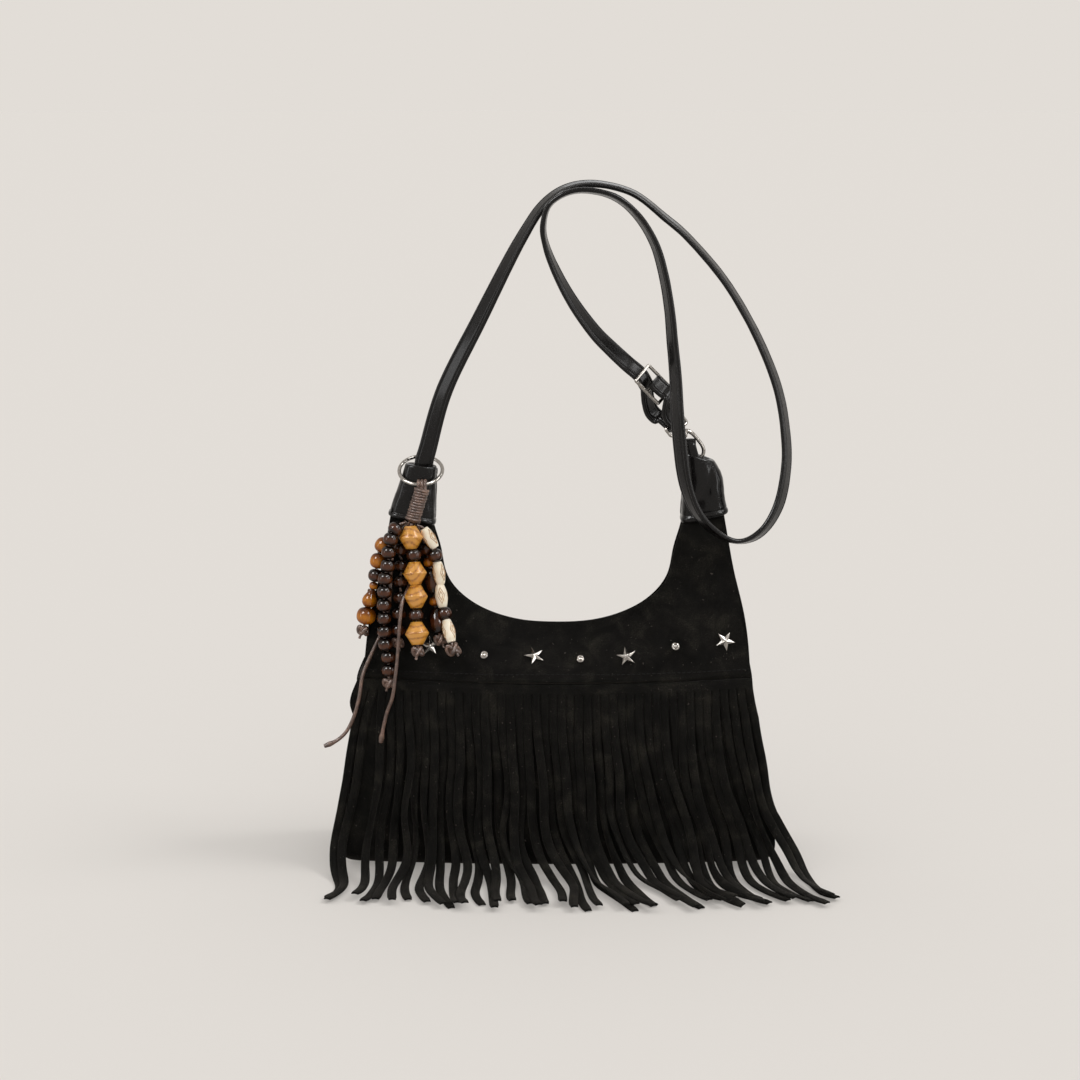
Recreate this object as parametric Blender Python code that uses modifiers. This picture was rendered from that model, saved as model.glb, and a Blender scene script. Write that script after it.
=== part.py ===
"""Small fringed shoulder bag of black suede, with leather caps, strap and a bead charm.

Metres, +Z up, X across the bag, Y from the front (-Y) to the back. The origin is the middle of
the base, on the surface that the bag stands on.
"""

import math
import random

import bmesh
import bpy
from mathutils import Matrix, Vector
from mathutils.bvhtree import BVHTree

MM = 0.001
GAP = 0.0003

# Body outline, seen from the front
BASE_HALF_WIDTH = 0.1427
HORN_OUTER_X = 0.1060
HORN_INNER_X = 0.0810
HEM_Z = 0.2230
HORN_TOP_Z = 0.2255
CORNER_RADIUS = 0.018
SEAM_Z = 0.1230
MOUTH_CENTRE_Z = 0.2200
MOUTH_DROP = 0.0650
BACK_MOUTH_EXTRA_DROP = 0.004

# Body depth, seen from the side
BASE_HALF_DEPTH = 0.036
SEAM_HALF_DEPTH = 0.026
HORN_HALF_DEPTH = 0.008
MOUTH_HALF_DEPTH = 0.007
BELLY = 0.007
SUEDE = 0.0016
LINING = 0.0008
LINING_CLEARANCE = 0.0022
MOUTH_FACING = 0.003

# Fringe
FRINGE_THICKNESS = 0.0012
FRINGE_HEADER = 0.0054
FRINGE_STRANDS = 44
FRINGE_SLIT = 0.0005
FRINGE_LENGTH = 0.160
FRINGE_FLARE_RADIUS = 0.035
FRINGE_SWEEP_LEFT = -0.014
FRINGE_SWEEP_RIGHT = 0.047

# Leather caps over the horns
CAP_WALL = 0.0013
CAP_HEM_Z = 0.2222
CAP_BAND = 0.0045
CAP_TOP_Z = 0.2560
CAP_TOP_X = 0.0865
CAP_TOP_HALF_WIDTH = 0.0098
CAP_TOP_HALF_DEPTH = 0.0070
CAP_POCKET = 0.004
CAP_HEM_CORNER = 0.0024
CAP_TOP_CORNER = 0.0045

# Strap
STRAP_WIDTH = 0.012
STRAP_THICKNESS = 0.003
STRAP_STATIONS = 46
STRAP_END_STATIONS = 28
STRAP_END_BOW = 0.0045

# Adjuster, hook and ring
SLIDER_WIRE = 0.0010
SLIDER_LENGTH = 0.0225
HOOK_WIRE = 0.0012
EYE_WIRE = 0.0010
RING_WIRE = 0.0012
RING_RADIUS = 0.0137
RING_TILT = math.radians(31)
LOOP_WIDTH = 0.005
LOOP_THICKNESS = 0.0018
LOOP_HALF_SPAN = 0.0048

# Charm
WRAP_RADIUS = 0.0048
WRAP_TURNS = 12
WRAP_TOP_Z = 0.2422
WRAP_BOTTOM_Z = 0.2222
STRAND_CORD = 0.0008
TAIL_CORD = 0.00115
BEAD_BORE = 0.0013

# Studs
STAR_RADIUS = 0.0068
STAR_HEIGHT = 0.0026
DOME_RADIUS = 0.0029
DOME_HEIGHT = 0.0018

for old in list(bpy.data.objects):
    bpy.data.objects.remove(old, do_unlink=True)

BAG = bpy.data.collections.new("fringed_suede_bag")
CUTTERS = bpy.data.collections.new("cutters")
bpy.context.scene.collection.children.link(BAG)
bpy.context.scene.collection.children.link(CUTTERS)


def make_material(name, colour, roughness, metallic=0.0):
    material = bpy.data.materials.new(name)
    material.use_nodes = True
    shader = material.node_tree.nodes["Principled BSDF"]
    shader.inputs["Base Color"].default_value = (*colour, 1.0)
    shader.inputs["Roughness"].default_value = roughness
    shader.inputs["Metallic"].default_value = metallic
    return material


SUEDE_BLACK = make_material("black_suede", (0.010, 0.009, 0.009), 0.95)
LEATHER_BLACK = make_material("black_leather", (0.014, 0.012, 0.012), 0.42)
LINING_CLOTH = make_material("lining_cloth", (0.020, 0.018, 0.018), 0.85)
NICKEL = make_material("polished_nickel", (0.72, 0.71, 0.69), 0.14, 1.0)
WAXED_CORD = make_material("waxed_cord", (0.075, 0.032, 0.020), 0.60)
DARK_BEADS = make_material("dark_wood_beads", (0.030, 0.012, 0.007), 0.25)
AMBER_BEADS = make_material("amber_wood_beads", (0.36, 0.13, 0.020), 0.25)
GOLDEN_WOOD = make_material("golden_wood", (0.60, 0.30, 0.075), 0.40)
BONE = make_material("carved_bone", (0.80, 0.67, 0.47), 0.50)


def add_object(name, mesh, material, collection=BAG):
    """Give a mesh its object, its material and its place in a collection."""
    thing = bpy.data.objects.new(name, mesh)
    if material is not None:
        mesh.materials.append(material)
    collection.objects.link(thing)
    return thing


def finish_mesh(name, bm, material, smooth=True):
    """Turn a bmesh into an object with its faces pointing out."""
    bmesh.ops.recalc_face_normals(bm, faces=bm.faces[:])
    if bm.calc_volume(signed=True) < 0:
        bmesh.ops.reverse_faces(bm, faces=bm.faces[:])
    mesh = bpy.data.meshes.new(name)
    bm.to_mesh(mesh)
    bm.free()
    if smooth:
        mesh.shade_smooth()
        mesh.set_sharp_from_angle(angle=math.radians(35))
    return add_object(name, mesh, material)


def shell(name, columns, rows, outer, inner, material):
    """A sheet with a thickness: a grid whose two faces lie at outer(u, v) and inner(u, v)."""
    bm = bmesh.new()
    bmesh.ops.create_grid(bm, x_segments=columns, y_segments=rows, size=1)
    near = bm.verts[:]
    extruded = bmesh.ops.extrude_face_region(bm, geom=bm.faces[:])
    far = [item for item in extruded["geom"] if isinstance(item, bmesh.types.BMVert)]
    for vert in near:
        if vert.is_valid:
            vert.co = outer(vert.co.x, vert.co.y)
    for vert in far:
        vert.co = inner(vert.co.x, vert.co.y)
    return finish_mesh(name, bm, material)


def loft(name, rings, material, smooth=True):
    """A closed solid through rings of equal length, with flat ends."""
    bm = bmesh.new()
    loops = [[bm.verts.new(point) for point in ring] for ring in rings]
    count = len(loops[0])
    for lower, upper in zip(loops, loops[1:]):
        for i in range(count):
            j = (i + 1) % count
            bm.faces.new((lower[i], lower[j], upper[j], upper[i]))
    bm.faces.new(loops[0])
    bm.faces.new(loops[-1])
    return finish_mesh(name, bm, material, smooth)


def turned(name, profile, place, material, steps=12, collection=BAG):
    """A turned solid: the profile (radius, height) is spun about its own Z, then placed."""
    bm = bmesh.new()
    verts = [bm.verts.new((radius, 0.0, height)) for radius, height in profile]
    for a, b in zip(verts, verts[1:]):
        bm.edges.new((a, b))
    if profile[0][0] > 0.0:
        bm.edges.new((verts[-1], verts[0]))
    mesh = bpy.data.meshes.new(name)
    bm.to_mesh(mesh)
    bm.free()
    thing = add_object(name, mesh, material, collection)
    thing.matrix_world = place
    screw = thing.modifiers.new("turn", "SCREW")
    screw.steps = steps
    screw.render_steps = steps
    screw.use_merge_vertices = True
    screw.merge_threshold = 0.00002
    screw.use_smooth_shade = True
    return thing


def wire(name, points, radius, material, sizes=None, closed=False, sides=2, collection=BAG):
    """A round wire or cord along points, with a size factor at each point where it is given."""
    curve = bpy.data.curves.new(name, "CURVE")
    curve.dimensions = "3D"
    curve.bevel_depth = radius
    curve.bevel_resolution = sides
    curve.use_fill_caps = not closed
    spline = curve.splines.new("POLY")
    spline.points.add(len(points) - 1)
    spline.use_cyclic_u = closed
    for i, point in enumerate(points):
        spline.points[i].co = (*point, 1.0)
        spline.points[i].radius = sizes[i] if sizes else 1.0
    curve.materials.append(material)
    thing = bpy.data.objects.new(name, curve)
    collection.objects.link(thing)
    return thing


def as_mesh(thing):
    """Swap a curve object for its mesh, with the caps welded on, so that it can be fused."""
    name = thing.name
    graph = bpy.context.evaluated_depsgraph_get()
    mesh = bpy.data.meshes.new_from_object(thing.evaluated_get(graph))
    bm = bmesh.new()
    bm.from_mesh(mesh)
    bmesh.ops.remove_doubles(bm, verts=bm.verts[:], dist=0.00001)
    bmesh.ops.recalc_face_normals(bm, faces=bm.faces[:])
    bm.to_mesh(mesh)
    bm.free()
    collection = thing.users_collection[0]
    place = thing.matrix_world.copy()
    bpy.data.objects.remove(thing, do_unlink=True)
    solid = bpy.data.objects.new(name, mesh)
    solid.matrix_world = place
    collection.objects.link(solid)
    return solid


def fuse(target, *others):
    """Join solids that the real piece has as one casting."""
    for other in others:
        other.hide_render = True
        other.display_type = "WIRE"
        join = target.modifiers.new("join_" + other.name, "BOOLEAN")
        join.operation = "UNION"
        join.solver = "EXACT"
        join.object = other
    return target


def smooth_path(points, count):
    """Evenly spaced points on a smooth curve through the given ones, measured in x, y and z."""
    dense = []
    for i in range(len(points) - 1):
        before = points[max(i - 1, 0)]
        start = points[i]
        end = points[i + 1]
        after = points[min(i + 2, len(points) - 1)]
        for step in range(12):
            t = step / 12
            dense.append(
                0.5 * (2 * start + (end - before) * t
                       + (2 * before - 5 * start + 4 * end - after) * t ** 2
                       + (3 * start - before - 3 * end + after) * t ** 3)
            )
    dense.append(points[-1].copy())
    lengths = [0.0]
    for a, b in zip(dense, dense[1:]):
        lengths.append(lengths[-1] + (Vector(b[:3]) - Vector(a[:3])).length)
    result = []
    j = 0
    for k in range(count):
        wanted = lengths[-1] * k / (count - 1)
        while j < len(lengths) - 2 and lengths[j + 1] < wanted:
            j += 1
        span = lengths[j + 1] - lengths[j]
        share = (wanted - lengths[j]) / span if span else 0.0
        result.append(dense[j] + (dense[j + 1] - dense[j]) * share)
    return result


def frame_at(origin, along, across):
    """A matrix at origin whose Z is along and whose X is as near across as it can be."""
    z = along.normalized()
    x = (across - across.dot(z) * z).normalized()
    y = z.cross(x)
    matrix = Matrix((x, y, z)).transposed().to_4x4()
    matrix.translation = origin
    return matrix


def rounded_ring(cx, cy, z, half_x, half_y, radius):
    """A rounded rectangle of twelve points at one height."""
    ring = []
    for corner, (sx, sy) in enumerate(((1, 1), (-1, 1), (-1, -1), (1, -1))):
        for step in range(3):
            angle = math.radians(90 * corner + 45 * step)
            x = cx + sx * (half_x - radius) + radius * math.cos(angle)
            y = cy + sy * (half_y - radius) + radius * math.sin(angle)
            ring.append(Vector((x, y, z)))
    return ring


def clamp(value):
    return max(0.0, min(1.0, value))


def side_x(z):
    """Half-width of the body's outline at a height."""
    x = BASE_HALF_WIDTH - (BASE_HALF_WIDTH - HORN_OUTER_X) * z / HEM_Z
    if z < CORNER_RADIUS:
        x -= CORNER_RADIUS - math.sqrt(CORNER_RADIUS ** 2 - (CORNER_RADIUS - z) ** 2)
    return x


def gusset_depth(z):
    """Half-depth of the body at its side edge."""
    fall = (BASE_HALF_DEPTH - SEAM_HALF_DEPTH) / (BASE_HALF_DEPTH - HORN_HALF_DEPTH)
    power = math.log(fall) / math.log(SEAM_Z / HEM_Z)
    return BASE_HALF_DEPTH - (BASE_HALF_DEPTH - HORN_HALF_DEPTH) * clamp(z / HEM_Z) ** power


def skin_depth(x, z):
    """Half-depth of the body's outer skin: full at the seam, pinched towards the mouth edge."""
    z = max(z, 0.0)
    across = clamp(abs(x) / side_x(z))
    full = gusset_depth(z) + BELLY * (1.0 - across ** 2)
    rise = min(0.0, (z - MOUTH_CENTRE_Z) / MOUTH_DROP)
    reach = math.hypot(x / HORN_INNER_X, rise)
    seam_reach = (MOUTH_CENTRE_Z - SEAM_Z) / MOUTH_DROP
    swell = clamp((reach - 1.0) / (seam_reach - 1.0))
    swell = 0.5 * swell + 0.5 * swell * swell * (3.0 - 2.0 * swell)
    return MOUTH_HALF_DEPTH + (full - MOUTH_HALF_DEPTH) * swell


def top_edge(share, drop, lower=0.0):
    """A point (x, z) on the top edge: along one horn, down the U and along the other horn."""
    side = -1.0 if share < 0 else 1.0
    away = abs(share)
    horn_share = 0.80
    horn_top = HORN_TOP_Z - lower
    if away >= horn_share:
        t = (away - horn_share) / (1.0 - horn_share)
        outer = side_x(horn_top)
        return side * (HORN_INNER_X + (outer - HORN_INNER_X) * t), horn_top
    angle = math.pi / 2 * away / (horn_share - 0.05) if away < horn_share - 0.05 else math.pi / 2
    x = side * HORN_INNER_X * math.sin(angle)
    z = MOUTH_CENTRE_Z - lower - drop * math.cos(angle)
    return x, z


def body_point(u, v, bottom, drop, inset=0.0, lower=0.0):
    """Where column u and row v of an upper body panel lie, as x and z."""
    top_x, top_z = top_edge(u, drop, lower)
    seam_x = u * (side_x(bottom) - inset)
    t = (v + 1.0) / 2.0
    top_x -= math.copysign(inset, u) * clamp(abs(u) * 5 - 4) if u else 0.0
    return seam_x + (top_x - seam_x) * t, bottom + (top_z - bottom) * t


def build_yoke(name, side, drop):
    """Upper suede panel with the U-shaped mouth and two horns; its lower edge is turned under."""
    lap = FRINGE_THICKNESS + GAP if side < 0 else 0.0
    turn = 0.012

    def outer(u, v):
        x, z = body_point(u, v, SEAM_Z, drop)
        thick = lap * clamp(1.0 - (z - SEAM_Z) / turn)
        return Vector((x, side * (skin_depth(x, z) + thick), z))

    def inner(u, v):
        x, z = body_point(u, v, SEAM_Z, drop)
        return Vector((x, side * (skin_depth(x, z) - SUEDE), z))

    return shell(name, 20, 6, outer, inner, SUEDE_BLACK)


def build_lower_panel(name, side):
    """Lower suede panel, from the base to the seam, with rounded bottom corners."""
    arc_steps = 4
    top = SEAM_Z - GAP
    heights = [CORNER_RADIUS * (1 - math.cos(math.pi / 2 * k / arc_steps))
               for k in range(arc_steps + 1)]
    heights += [CORNER_RADIUS + (top - CORNER_RADIUS) * k / 3 for k in (1, 2, 3)]
    rows = len(heights) - 1

    def place(u, v, depth_change):
        z = heights[round((v + 1) / 2 * rows)]
        x = u * side_x(z)
        return Vector((x, side * (skin_depth(x, z) + depth_change), z))

    return shell(name, 10, rows,
                 lambda u, v: place(u, v, 0.0),
                 lambda u, v: place(u, v, -SUEDE),
                 SUEDE_BLACK)


def gusset_half(x, z):
    """Half of the gusset's width between the front and back skins."""
    inner = max(abs(x) - SUEDE, 0.0)
    return min(skin_depth(x, z), skin_depth(inner, z)) - SUEDE - 2 * GAP


def build_gusset(name, side):
    """Side strip of suede, tapering from the base corner to the horn."""
    low = CORNER_RADIUS + GAP

    def place(u, v, inward):
        z = low + (HORN_TOP_Z - low) * (v + 1) / 2
        x = side_x(z)
        return Vector((side * (x - inward), u * gusset_half(x, z), z))

    return shell(name, 1, 8,
                 lambda u, v: place(u, v, 0.0),
                 lambda u, v: place(u, v, SUEDE),
                 SUEDE_BLACK)


def build_base():
    """Base strip: flat underneath, turned up round both bottom corners."""
    arc_steps = 4
    flat_steps = 8
    stations = []
    for k in range(arc_steps + 1):
        angle = math.pi / 2 * (1 - k / arc_steps)
        z = CORNER_RADIUS * (1 - math.cos(angle))
        normal = Vector((math.sin(angle), 0.0, math.cos(angle)))
        stations.append((Vector((-side_x(z), 0.0, z)), normal))
    edge = side_x(0.0)
    for k in range(1, flat_steps):
        stations.append((Vector((-edge + 2 * edge * k / flat_steps, 0.0, 0.0)), Vector((0, 0, 1))))
    for point, normal in reversed(stations[:arc_steps + 1]):
        stations.append((Vector((-point.x, 0.0, point.z)), Vector((-normal.x, 0.0, normal.z))))
    rows = len(stations) - 1

    def place(u, v, inward):
        point, normal = stations[round((v + 1) / 2 * rows)]
        half = gusset_half(point.x, point.z)
        return point + normal * inward + Vector((0.0, u * half, 0.0))

    return shell("base_panel", 1, rows,
                 lambda u, v: place(u, v, 0.0),
                 lambda u, v: place(u, v, SUEDE),
                 SUEDE_BLACK)


def build_lining():
    """Cloth lining: a thin bag, open along the mouth, that stands on the base."""
    columns = 12
    floor = SUEDE + GAP
    seam = SEAM_Z
    levels = (floor, 0.014, 0.060)
    above = 4

    def ring(level, thick):
        front = []
        for k in range(columns + 1):
            u = -1.0 + 2.0 * k / columns
            if level < len(levels):
                z = levels[level] + (thick if level == 0 else 0.0)
                x = u * (side_x(max(0.0, z - floor - thick)) - SUEDE - LINING_CLEARANCE - thick)
            else:
                t = (level - len(levels)) / above
                x, z = body_point(u, 2 * t - 1, seam, MOUTH_DROP + BACK_MOUTH_EXTRA_DROP,
                                  SUEDE + LINING_CLEARANCE + thick, MOUTH_FACING)
            depth = skin_depth(x, z) - SUEDE - LINING_CLEARANCE - thick
            front.append(Vector((x, -depth, z)))
        back = [Vector((p.x, -p.y, p.z)) for p in reversed(front)]
        return front + back

    last = len(levels) + above
    outer = [ring(level, 0.0) for level in range(last + 1)]
    inner = [ring(level, LINING) for level in range(last, -1, -1)]
    return loft("lining", outer + inner, LINING_CLOTH)


def strand_point(share, along, wander):
    """Middle of a fringe strand at a distance below the header, with its sideways drift."""
    start_z = SEAM_Z - FRINGE_HEADER
    hang = start_z - FRINGE_FLARE_RADIUS
    arc = FRINGE_FLARE_RADIUS * math.pi / 2
    x = share * side_x(start_z)
    part = along / FRINGE_LENGTH
    lean = FRINGE_SWEEP_LEFT + (FRINGE_SWEEP_RIGHT - FRINGE_SWEEP_LEFT) * clamp((share + 1) * 0.72)
    x += lean * part ** 2.2 + wander * math.sin(math.pi * 2.2 * part) * part
    off = GAP + 0.0011 * clamp(part * 6)
    if along <= hang:
        z = start_z - along
        return Vector((x, -skin_depth(x, z) - off, z))
    edge = -skin_depth(x, FRINGE_FLARE_RADIUS) - off
    if along <= hang + arc:
        angle = (along - hang) / FRINGE_FLARE_RADIUS
        z = FRINGE_FLARE_RADIUS * (1 - math.sin(angle))
        return Vector((x, edge - FRINGE_FLARE_RADIUS * (1 - math.cos(angle)), z))
    return Vector((x, edge - FRINGE_FLARE_RADIUS - (along - hang - arc), 0.0))


def build_fringe():
    """One strip of suede, cut into strands below its header, hanging and flaring on the floor."""
    random.seed(11)
    start_z = SEAM_Z - FRINGE_HEADER
    hang = start_z - FRINGE_FLARE_RADIUS
    arc = FRINGE_FLARE_RADIUS * math.pi / 2
    pitch = 2.0 / FRINGE_STRANDS
    slit = FRINGE_SLIT / side_x(start_z)
    bm = bmesh.new()
    header = []
    for i in range(FRINGE_STRANDS):
        left = -1.0 + i * pitch + slit / 2
        right = left + pitch - slit
        header.append((left, right))
    top = []
    low = []
    for left, right in header:
        for share in (left, right):
            z = SEAM_Z - GAP
            x = share * side_x(z)
            top.append(bm.verts.new((x, -skin_depth(x, z) - GAP, z)))
            low.append(bm.verts.new(strand_point(share, 0.0, 0.0)))
    for i in range(len(top) - 1):
        bm.faces.new((top[i], top[i + 1], low[i + 1], low[i]))
    for i, (left, right) in enumerate(header):
        middle = (left + right) / 2
        half = (right - left) / 2 * side_x(start_z)
        wander = 0.0022 * math.sin(i * 0.55)
        length = FRINGE_LENGTH + random.uniform(-0.006, 0.004)
        stops = [hang * 0.5, hang, hang + arc * 0.33, hang + arc * 0.66, hang + arc]
        stops += [length]
        before = (low[2 * i], low[2 * i + 1])
        for stop in stops:
            centre = strand_point(middle, stop, wander)
            centre.z += FRINGE_THICKNESS + 0.0004
            turn = 0.35 * math.sin(i * 1.7) * clamp(stop / hang - 0.5) * clamp((length - stop) / arc)
            across = Vector((math.cos(turn), math.sin(turn), 0.0)) * half * (1 - 0.15 * stop / length)
            if stop <= hang:
                centre.y -= abs(across.y)
            pair = (bm.verts.new(centre - across), bm.verts.new(centre + across))
            bm.faces.new((before[0], before[1], pair[1], pair[0]))
            before = pair
    bmesh.ops.recalc_face_normals(bm, faces=bm.faces[:])
    bm.faces.ensure_lookup_table()
    if bm.faces[0].normal.y > 0:
        bmesh.ops.reverse_faces(bm, faces=bm.faces[:])
    mesh = bpy.data.meshes.new("fringe")
    bm.to_mesh(mesh)
    bm.free()
    fringe = add_object("fringe", mesh, SUEDE_BLACK)
    thicken = fringe.modifiers.new("thicken", "SOLIDIFY")
    thicken.thickness = FRINGE_THICKNESS
    thicken.offset = 1.0
    return fringe


def build_cap(name, side, pocket_x, pocket_half_x, pocket_half_y):
    """Leather sleeve over a horn: open below for the horn, with a pocket on top."""
    hem_x = (HORN_OUTER_X + HORN_INNER_X) / 2
    inner_half = (HORN_OUTER_X - HORN_INNER_X) / 2 + 3 * GAP
    hem_half = inner_half + CAP_WALL
    hem_depth = HORN_HALF_DEPTH + 4 * GAP + CAP_WALL
    recess_top = HORN_TOP_Z + GAP
    band_top = CAP_HEM_Z + CAP_BAND

    def mix(a, b, t):
        return a + (b - a) * t

    rings = []
    pocket_floor = CAP_TOP_Z - CAP_POCKET
    for z in (pocket_floor, CAP_TOP_Z):
        rings.append(rounded_ring(side * pocket_x, 0.0, z, pocket_half_x, pocket_half_y, 0.0008))
    top_inset = 0.0010
    rings.append(rounded_ring(side * CAP_TOP_X, 0.0, CAP_TOP_Z, CAP_TOP_HALF_WIDTH - top_inset,
                              CAP_TOP_HALF_DEPTH - top_inset, CAP_TOP_CORNER - top_inset))
    rings.append(rounded_ring(side * CAP_TOP_X, 0.0, CAP_TOP_Z - top_inset, CAP_TOP_HALF_WIDTH,
                              CAP_TOP_HALF_DEPTH, CAP_TOP_CORNER))
    for t in (0.72, 0.35, 0.0):
        soft = t ** 0.75
        ease = soft * soft * (3 - 2 * soft)
        z = mix(band_top, CAP_TOP_Z - top_inset, t)
        rings.append(rounded_ring(side * mix(hem_x, CAP_TOP_X, ease), 0.0, z,
                                  mix(hem_half, CAP_TOP_HALF_WIDTH, ease),
                                  mix(hem_depth, CAP_TOP_HALF_DEPTH, ease),
                                  mix(CAP_HEM_CORNER, CAP_TOP_CORNER, ease)))
    rings.append(rounded_ring(side * hem_x, 0.0, CAP_HEM_Z, hem_half, hem_depth, CAP_HEM_CORNER))
    for z in (CAP_HEM_Z, recess_top):
        rings.append(rounded_ring(side * hem_x, 0.0, z, inner_half, hem_depth - CAP_WALL, 0.001))
    return loft(name, rings, LEATHER_BLACK)


# Route of the strap from the left cap to the adjuster, in millimetres, with the turn of its
# flat face in degrees: 0 faces the front, 90 stands edge-on to it.
STRAP_ROUTE = (
    (-84.5, 0, 252.3, 0), (-84.5, 0, 258.0, 4), (-82.2, 0, 266, 18), (-71, 0, 304, 32),
    (-49, 0, 348, 42),
    (-23, 0, 398, 58), (-5, 0, 423, 68), (17, 0, 432, 74), (45, 0, 427, 74),
    (67, 0, 411, 68), (82, 0, 398, 60), (103, 0, 374, 50), (119, 0, 349, 42),
    (131, -1, 325, 36), (139, -4, 303, 26), (143, -8, 281, 16), (144, -12, 258, 6),
    (139, -18, 233, 8), (127, -23, 216, 45), (110, -26, 212, 75), (91, -28, 225, 60),
    (80, -28, 247, 45), (75, -25, 282, 42), (73, -20, 315, 50), (71, -17, 336, 56),
    (69, -16, 356, 62), (65, -15, 377, 66), (59, -14, 395, 70), (48, -14, 410, 74),
    (33, -14, 420, 78), (12, -14, 423, 82), (-4, -14, 417, 84), (-9, -14, 406, 84),
    (-7, -12, 394, 80), (0, -10, 377, 70), (10, -8, 359, 60), (23, -4, 341, 52),
    (34, -1, 329.5, 46), (44, 2, 320, 42),
)
SLIDER_CENTRE = Vector((0.0604, 0.0, 0.3072))
SLIDER_RUN = Vector((0.70, 0.0, -0.714)).normalized()
SLIDER_TURN = math.radians(40)
HOOK_EYE = Vector((0.0733, 0.0, 0.2832))
HOOK_AXIS = Vector((0.625, 0.0, -0.781)).normalized()
EYE_TURN = math.radians(30)


def across_run(run, turn):
    """The direction across a run, turned away from the front view by an angle."""
    flat = run.cross(Vector((0.0, 1.0, 0.0))).normalized()
    return flat * math.cos(turn) + Vector((0.0, 1.0, 0.0)) * math.sin(turn)


SLIDER_ACROSS = across_run(SLIDER_RUN, SLIDER_TURN)
SLIDER_FACE = SLIDER_RUN.cross(SLIDER_ACROSS).normalized()
EYE_ACROSS = across_run(HOOK_AXIS, EYE_TURN)
EYE_FACE = HOOK_AXIS.cross(EYE_ACROSS).normalized()


def strap_stations():
    """Points (x, y, z) of the strap's middle line, each with its direction across."""
    route = [Vector(p[:3]) * MM for p in STRAP_ROUTE]
    hints = []
    for i, point in enumerate(STRAP_ROUTE):
        run = (route[min(i + 1, len(route) - 1)] - route[max(i - 1, 0)]).normalized()
        hints.append(across_run(run, math.radians(point[3])))
    offset = SLIDER_WIRE + STRAP_THICKNESS / 2 + 0.0004
    eye_offset = EYE_WIRE + STRAP_THICKNESS / 2 + 0.0006
    for run, bow in ((-0.010, 0.0), (0.002, 0.0), (0.011, 0.0004), (0.019, STRAP_END_BOW)):
        route.append(SLIDER_CENTRE + SLIDER_RUN * run - SLIDER_FACE * (offset + bow))
        hints.append(SLIDER_ACROSS)
    route.append(HOOK_EYE - HOOK_AXIS * 0.006 - EYE_FACE * (eye_offset + STRAP_END_BOW * 0.4))
    route.append(HOOK_EYE - HOOK_AXIS * 0.0005 - EYE_FACE * eye_offset)
    diagonal = eye_offset * math.sqrt(0.5)
    route.append(HOOK_EYE + HOOK_AXIS * diagonal - EYE_FACE * diagonal)
    route.append(HOOK_EYE + HOOK_AXIS * eye_offset)
    route.append(HOOK_EYE + HOOK_AXIS * diagonal + EYE_FACE * diagonal)
    route.append(HOOK_EYE - HOOK_AXIS * 0.0005 + EYE_FACE * eye_offset)
    route.append(HOOK_EYE - HOOK_AXIS * 0.007 + EYE_FACE * (eye_offset + 0.0012))
    hints += [EYE_ACROSS] * 7
    for run, lift in ((0.012, 0.0016), (0.007, 0.0006), (0.001, 0.0), (-0.002, 0.0)):
        route.append(SLIDER_CENTRE + SLIDER_RUN * run + SLIDER_FACE * (offset + lift))
        hints.append(SLIDER_ACROSS)
    return route, hints


def build_strap():
    """The whole leather strap: one flat length with soft edges, swept along its route."""
    route, hints = strap_stations()
    joined = [Vector((*p, *h)) for p, h in zip(route, hints)]
    main = smooth_path(joined[1:len(STRAP_ROUTE) + 2], STRAP_STATIONS)
    tail = smooth_path(joined[len(STRAP_ROUTE) + 1:], STRAP_END_STATIONS)
    samples = joined[:1] + main + tail[1:]
    half_w = STRAP_WIDTH / 2
    half_t = STRAP_THICKNESS / 2
    soft = 0.0009
    section = ((half_w, -half_t + soft), (half_w, half_t - soft), (half_w - soft, half_t),
               (-half_w + soft, half_t), (-half_w, half_t - soft), (-half_w, -half_t + soft),
               (-half_w + soft, -half_t), (half_w - soft, -half_t))
    rings = []
    for i, sample in enumerate(samples):
        point = Vector(sample[:3])
        ahead = Vector(samples[min(i + 1, len(samples) - 1)][:3])
        behind = Vector(samples[max(i - 1, 0)][:3])
        run = (ahead - behind).normalized()
        hint = Vector(sample[3:])
        across = (hint - hint.dot(run) * run).normalized()
        face = run.cross(across)
        rings.append([point + across * a + face * b for a, b in section])
    return loft("strap", rings, LEATHER_BLACK)


def build_slider():
    """Polished rectangular adjuster: a wire frame with a bar across its middle."""
    half_run = SLIDER_LENGTH / 2 - SLIDER_WIRE
    half_across = STRAP_WIDTH / 2 + SLIDER_WIRE + 0.0008
    cut = 0.0012

    def at(run, across):
        return SLIDER_CENTRE + SLIDER_RUN * run + SLIDER_ACROSS * across

    corners = []
    for run, across in ((1, 1), (-1, 1), (-1, -1), (1, -1)):
        first = at(run * half_run, across * (half_across - cut))
        second = at(run * (half_run - cut), across * half_across)
        corners += [first, second] if run == across else [second, first]
    frame = as_mesh(wire("slider", corners, SLIDER_WIRE, NICKEL, closed=True))
    bar = as_mesh(wire("slider_bar", [at(0.0, -half_across), at(0.0, half_across)],
                       SLIDER_WIRE * 0.85, NICKEL, collection=CUTTERS))
    return fuse(frame, bar)


def hook_at(along, aside, out=0.0):
    """A point of the hook: along its axis, aside from it in its plane, and out of that plane."""
    aside_way = across_run(HOOK_AXIS, 0.0)
    return HOOK_EYE + HOOK_AXIS * along + aside_way * aside + Vector((0.0, out, 0.0))


EYE_DEPTH = 0.0062
COLLAR_TOP = 0.0076
COLLAR_BOTTOM = 0.0114
POST_RADIUS = 0.0011
GATE_ALONG = 0.0097
GATE_ASIDE = -0.0048


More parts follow.
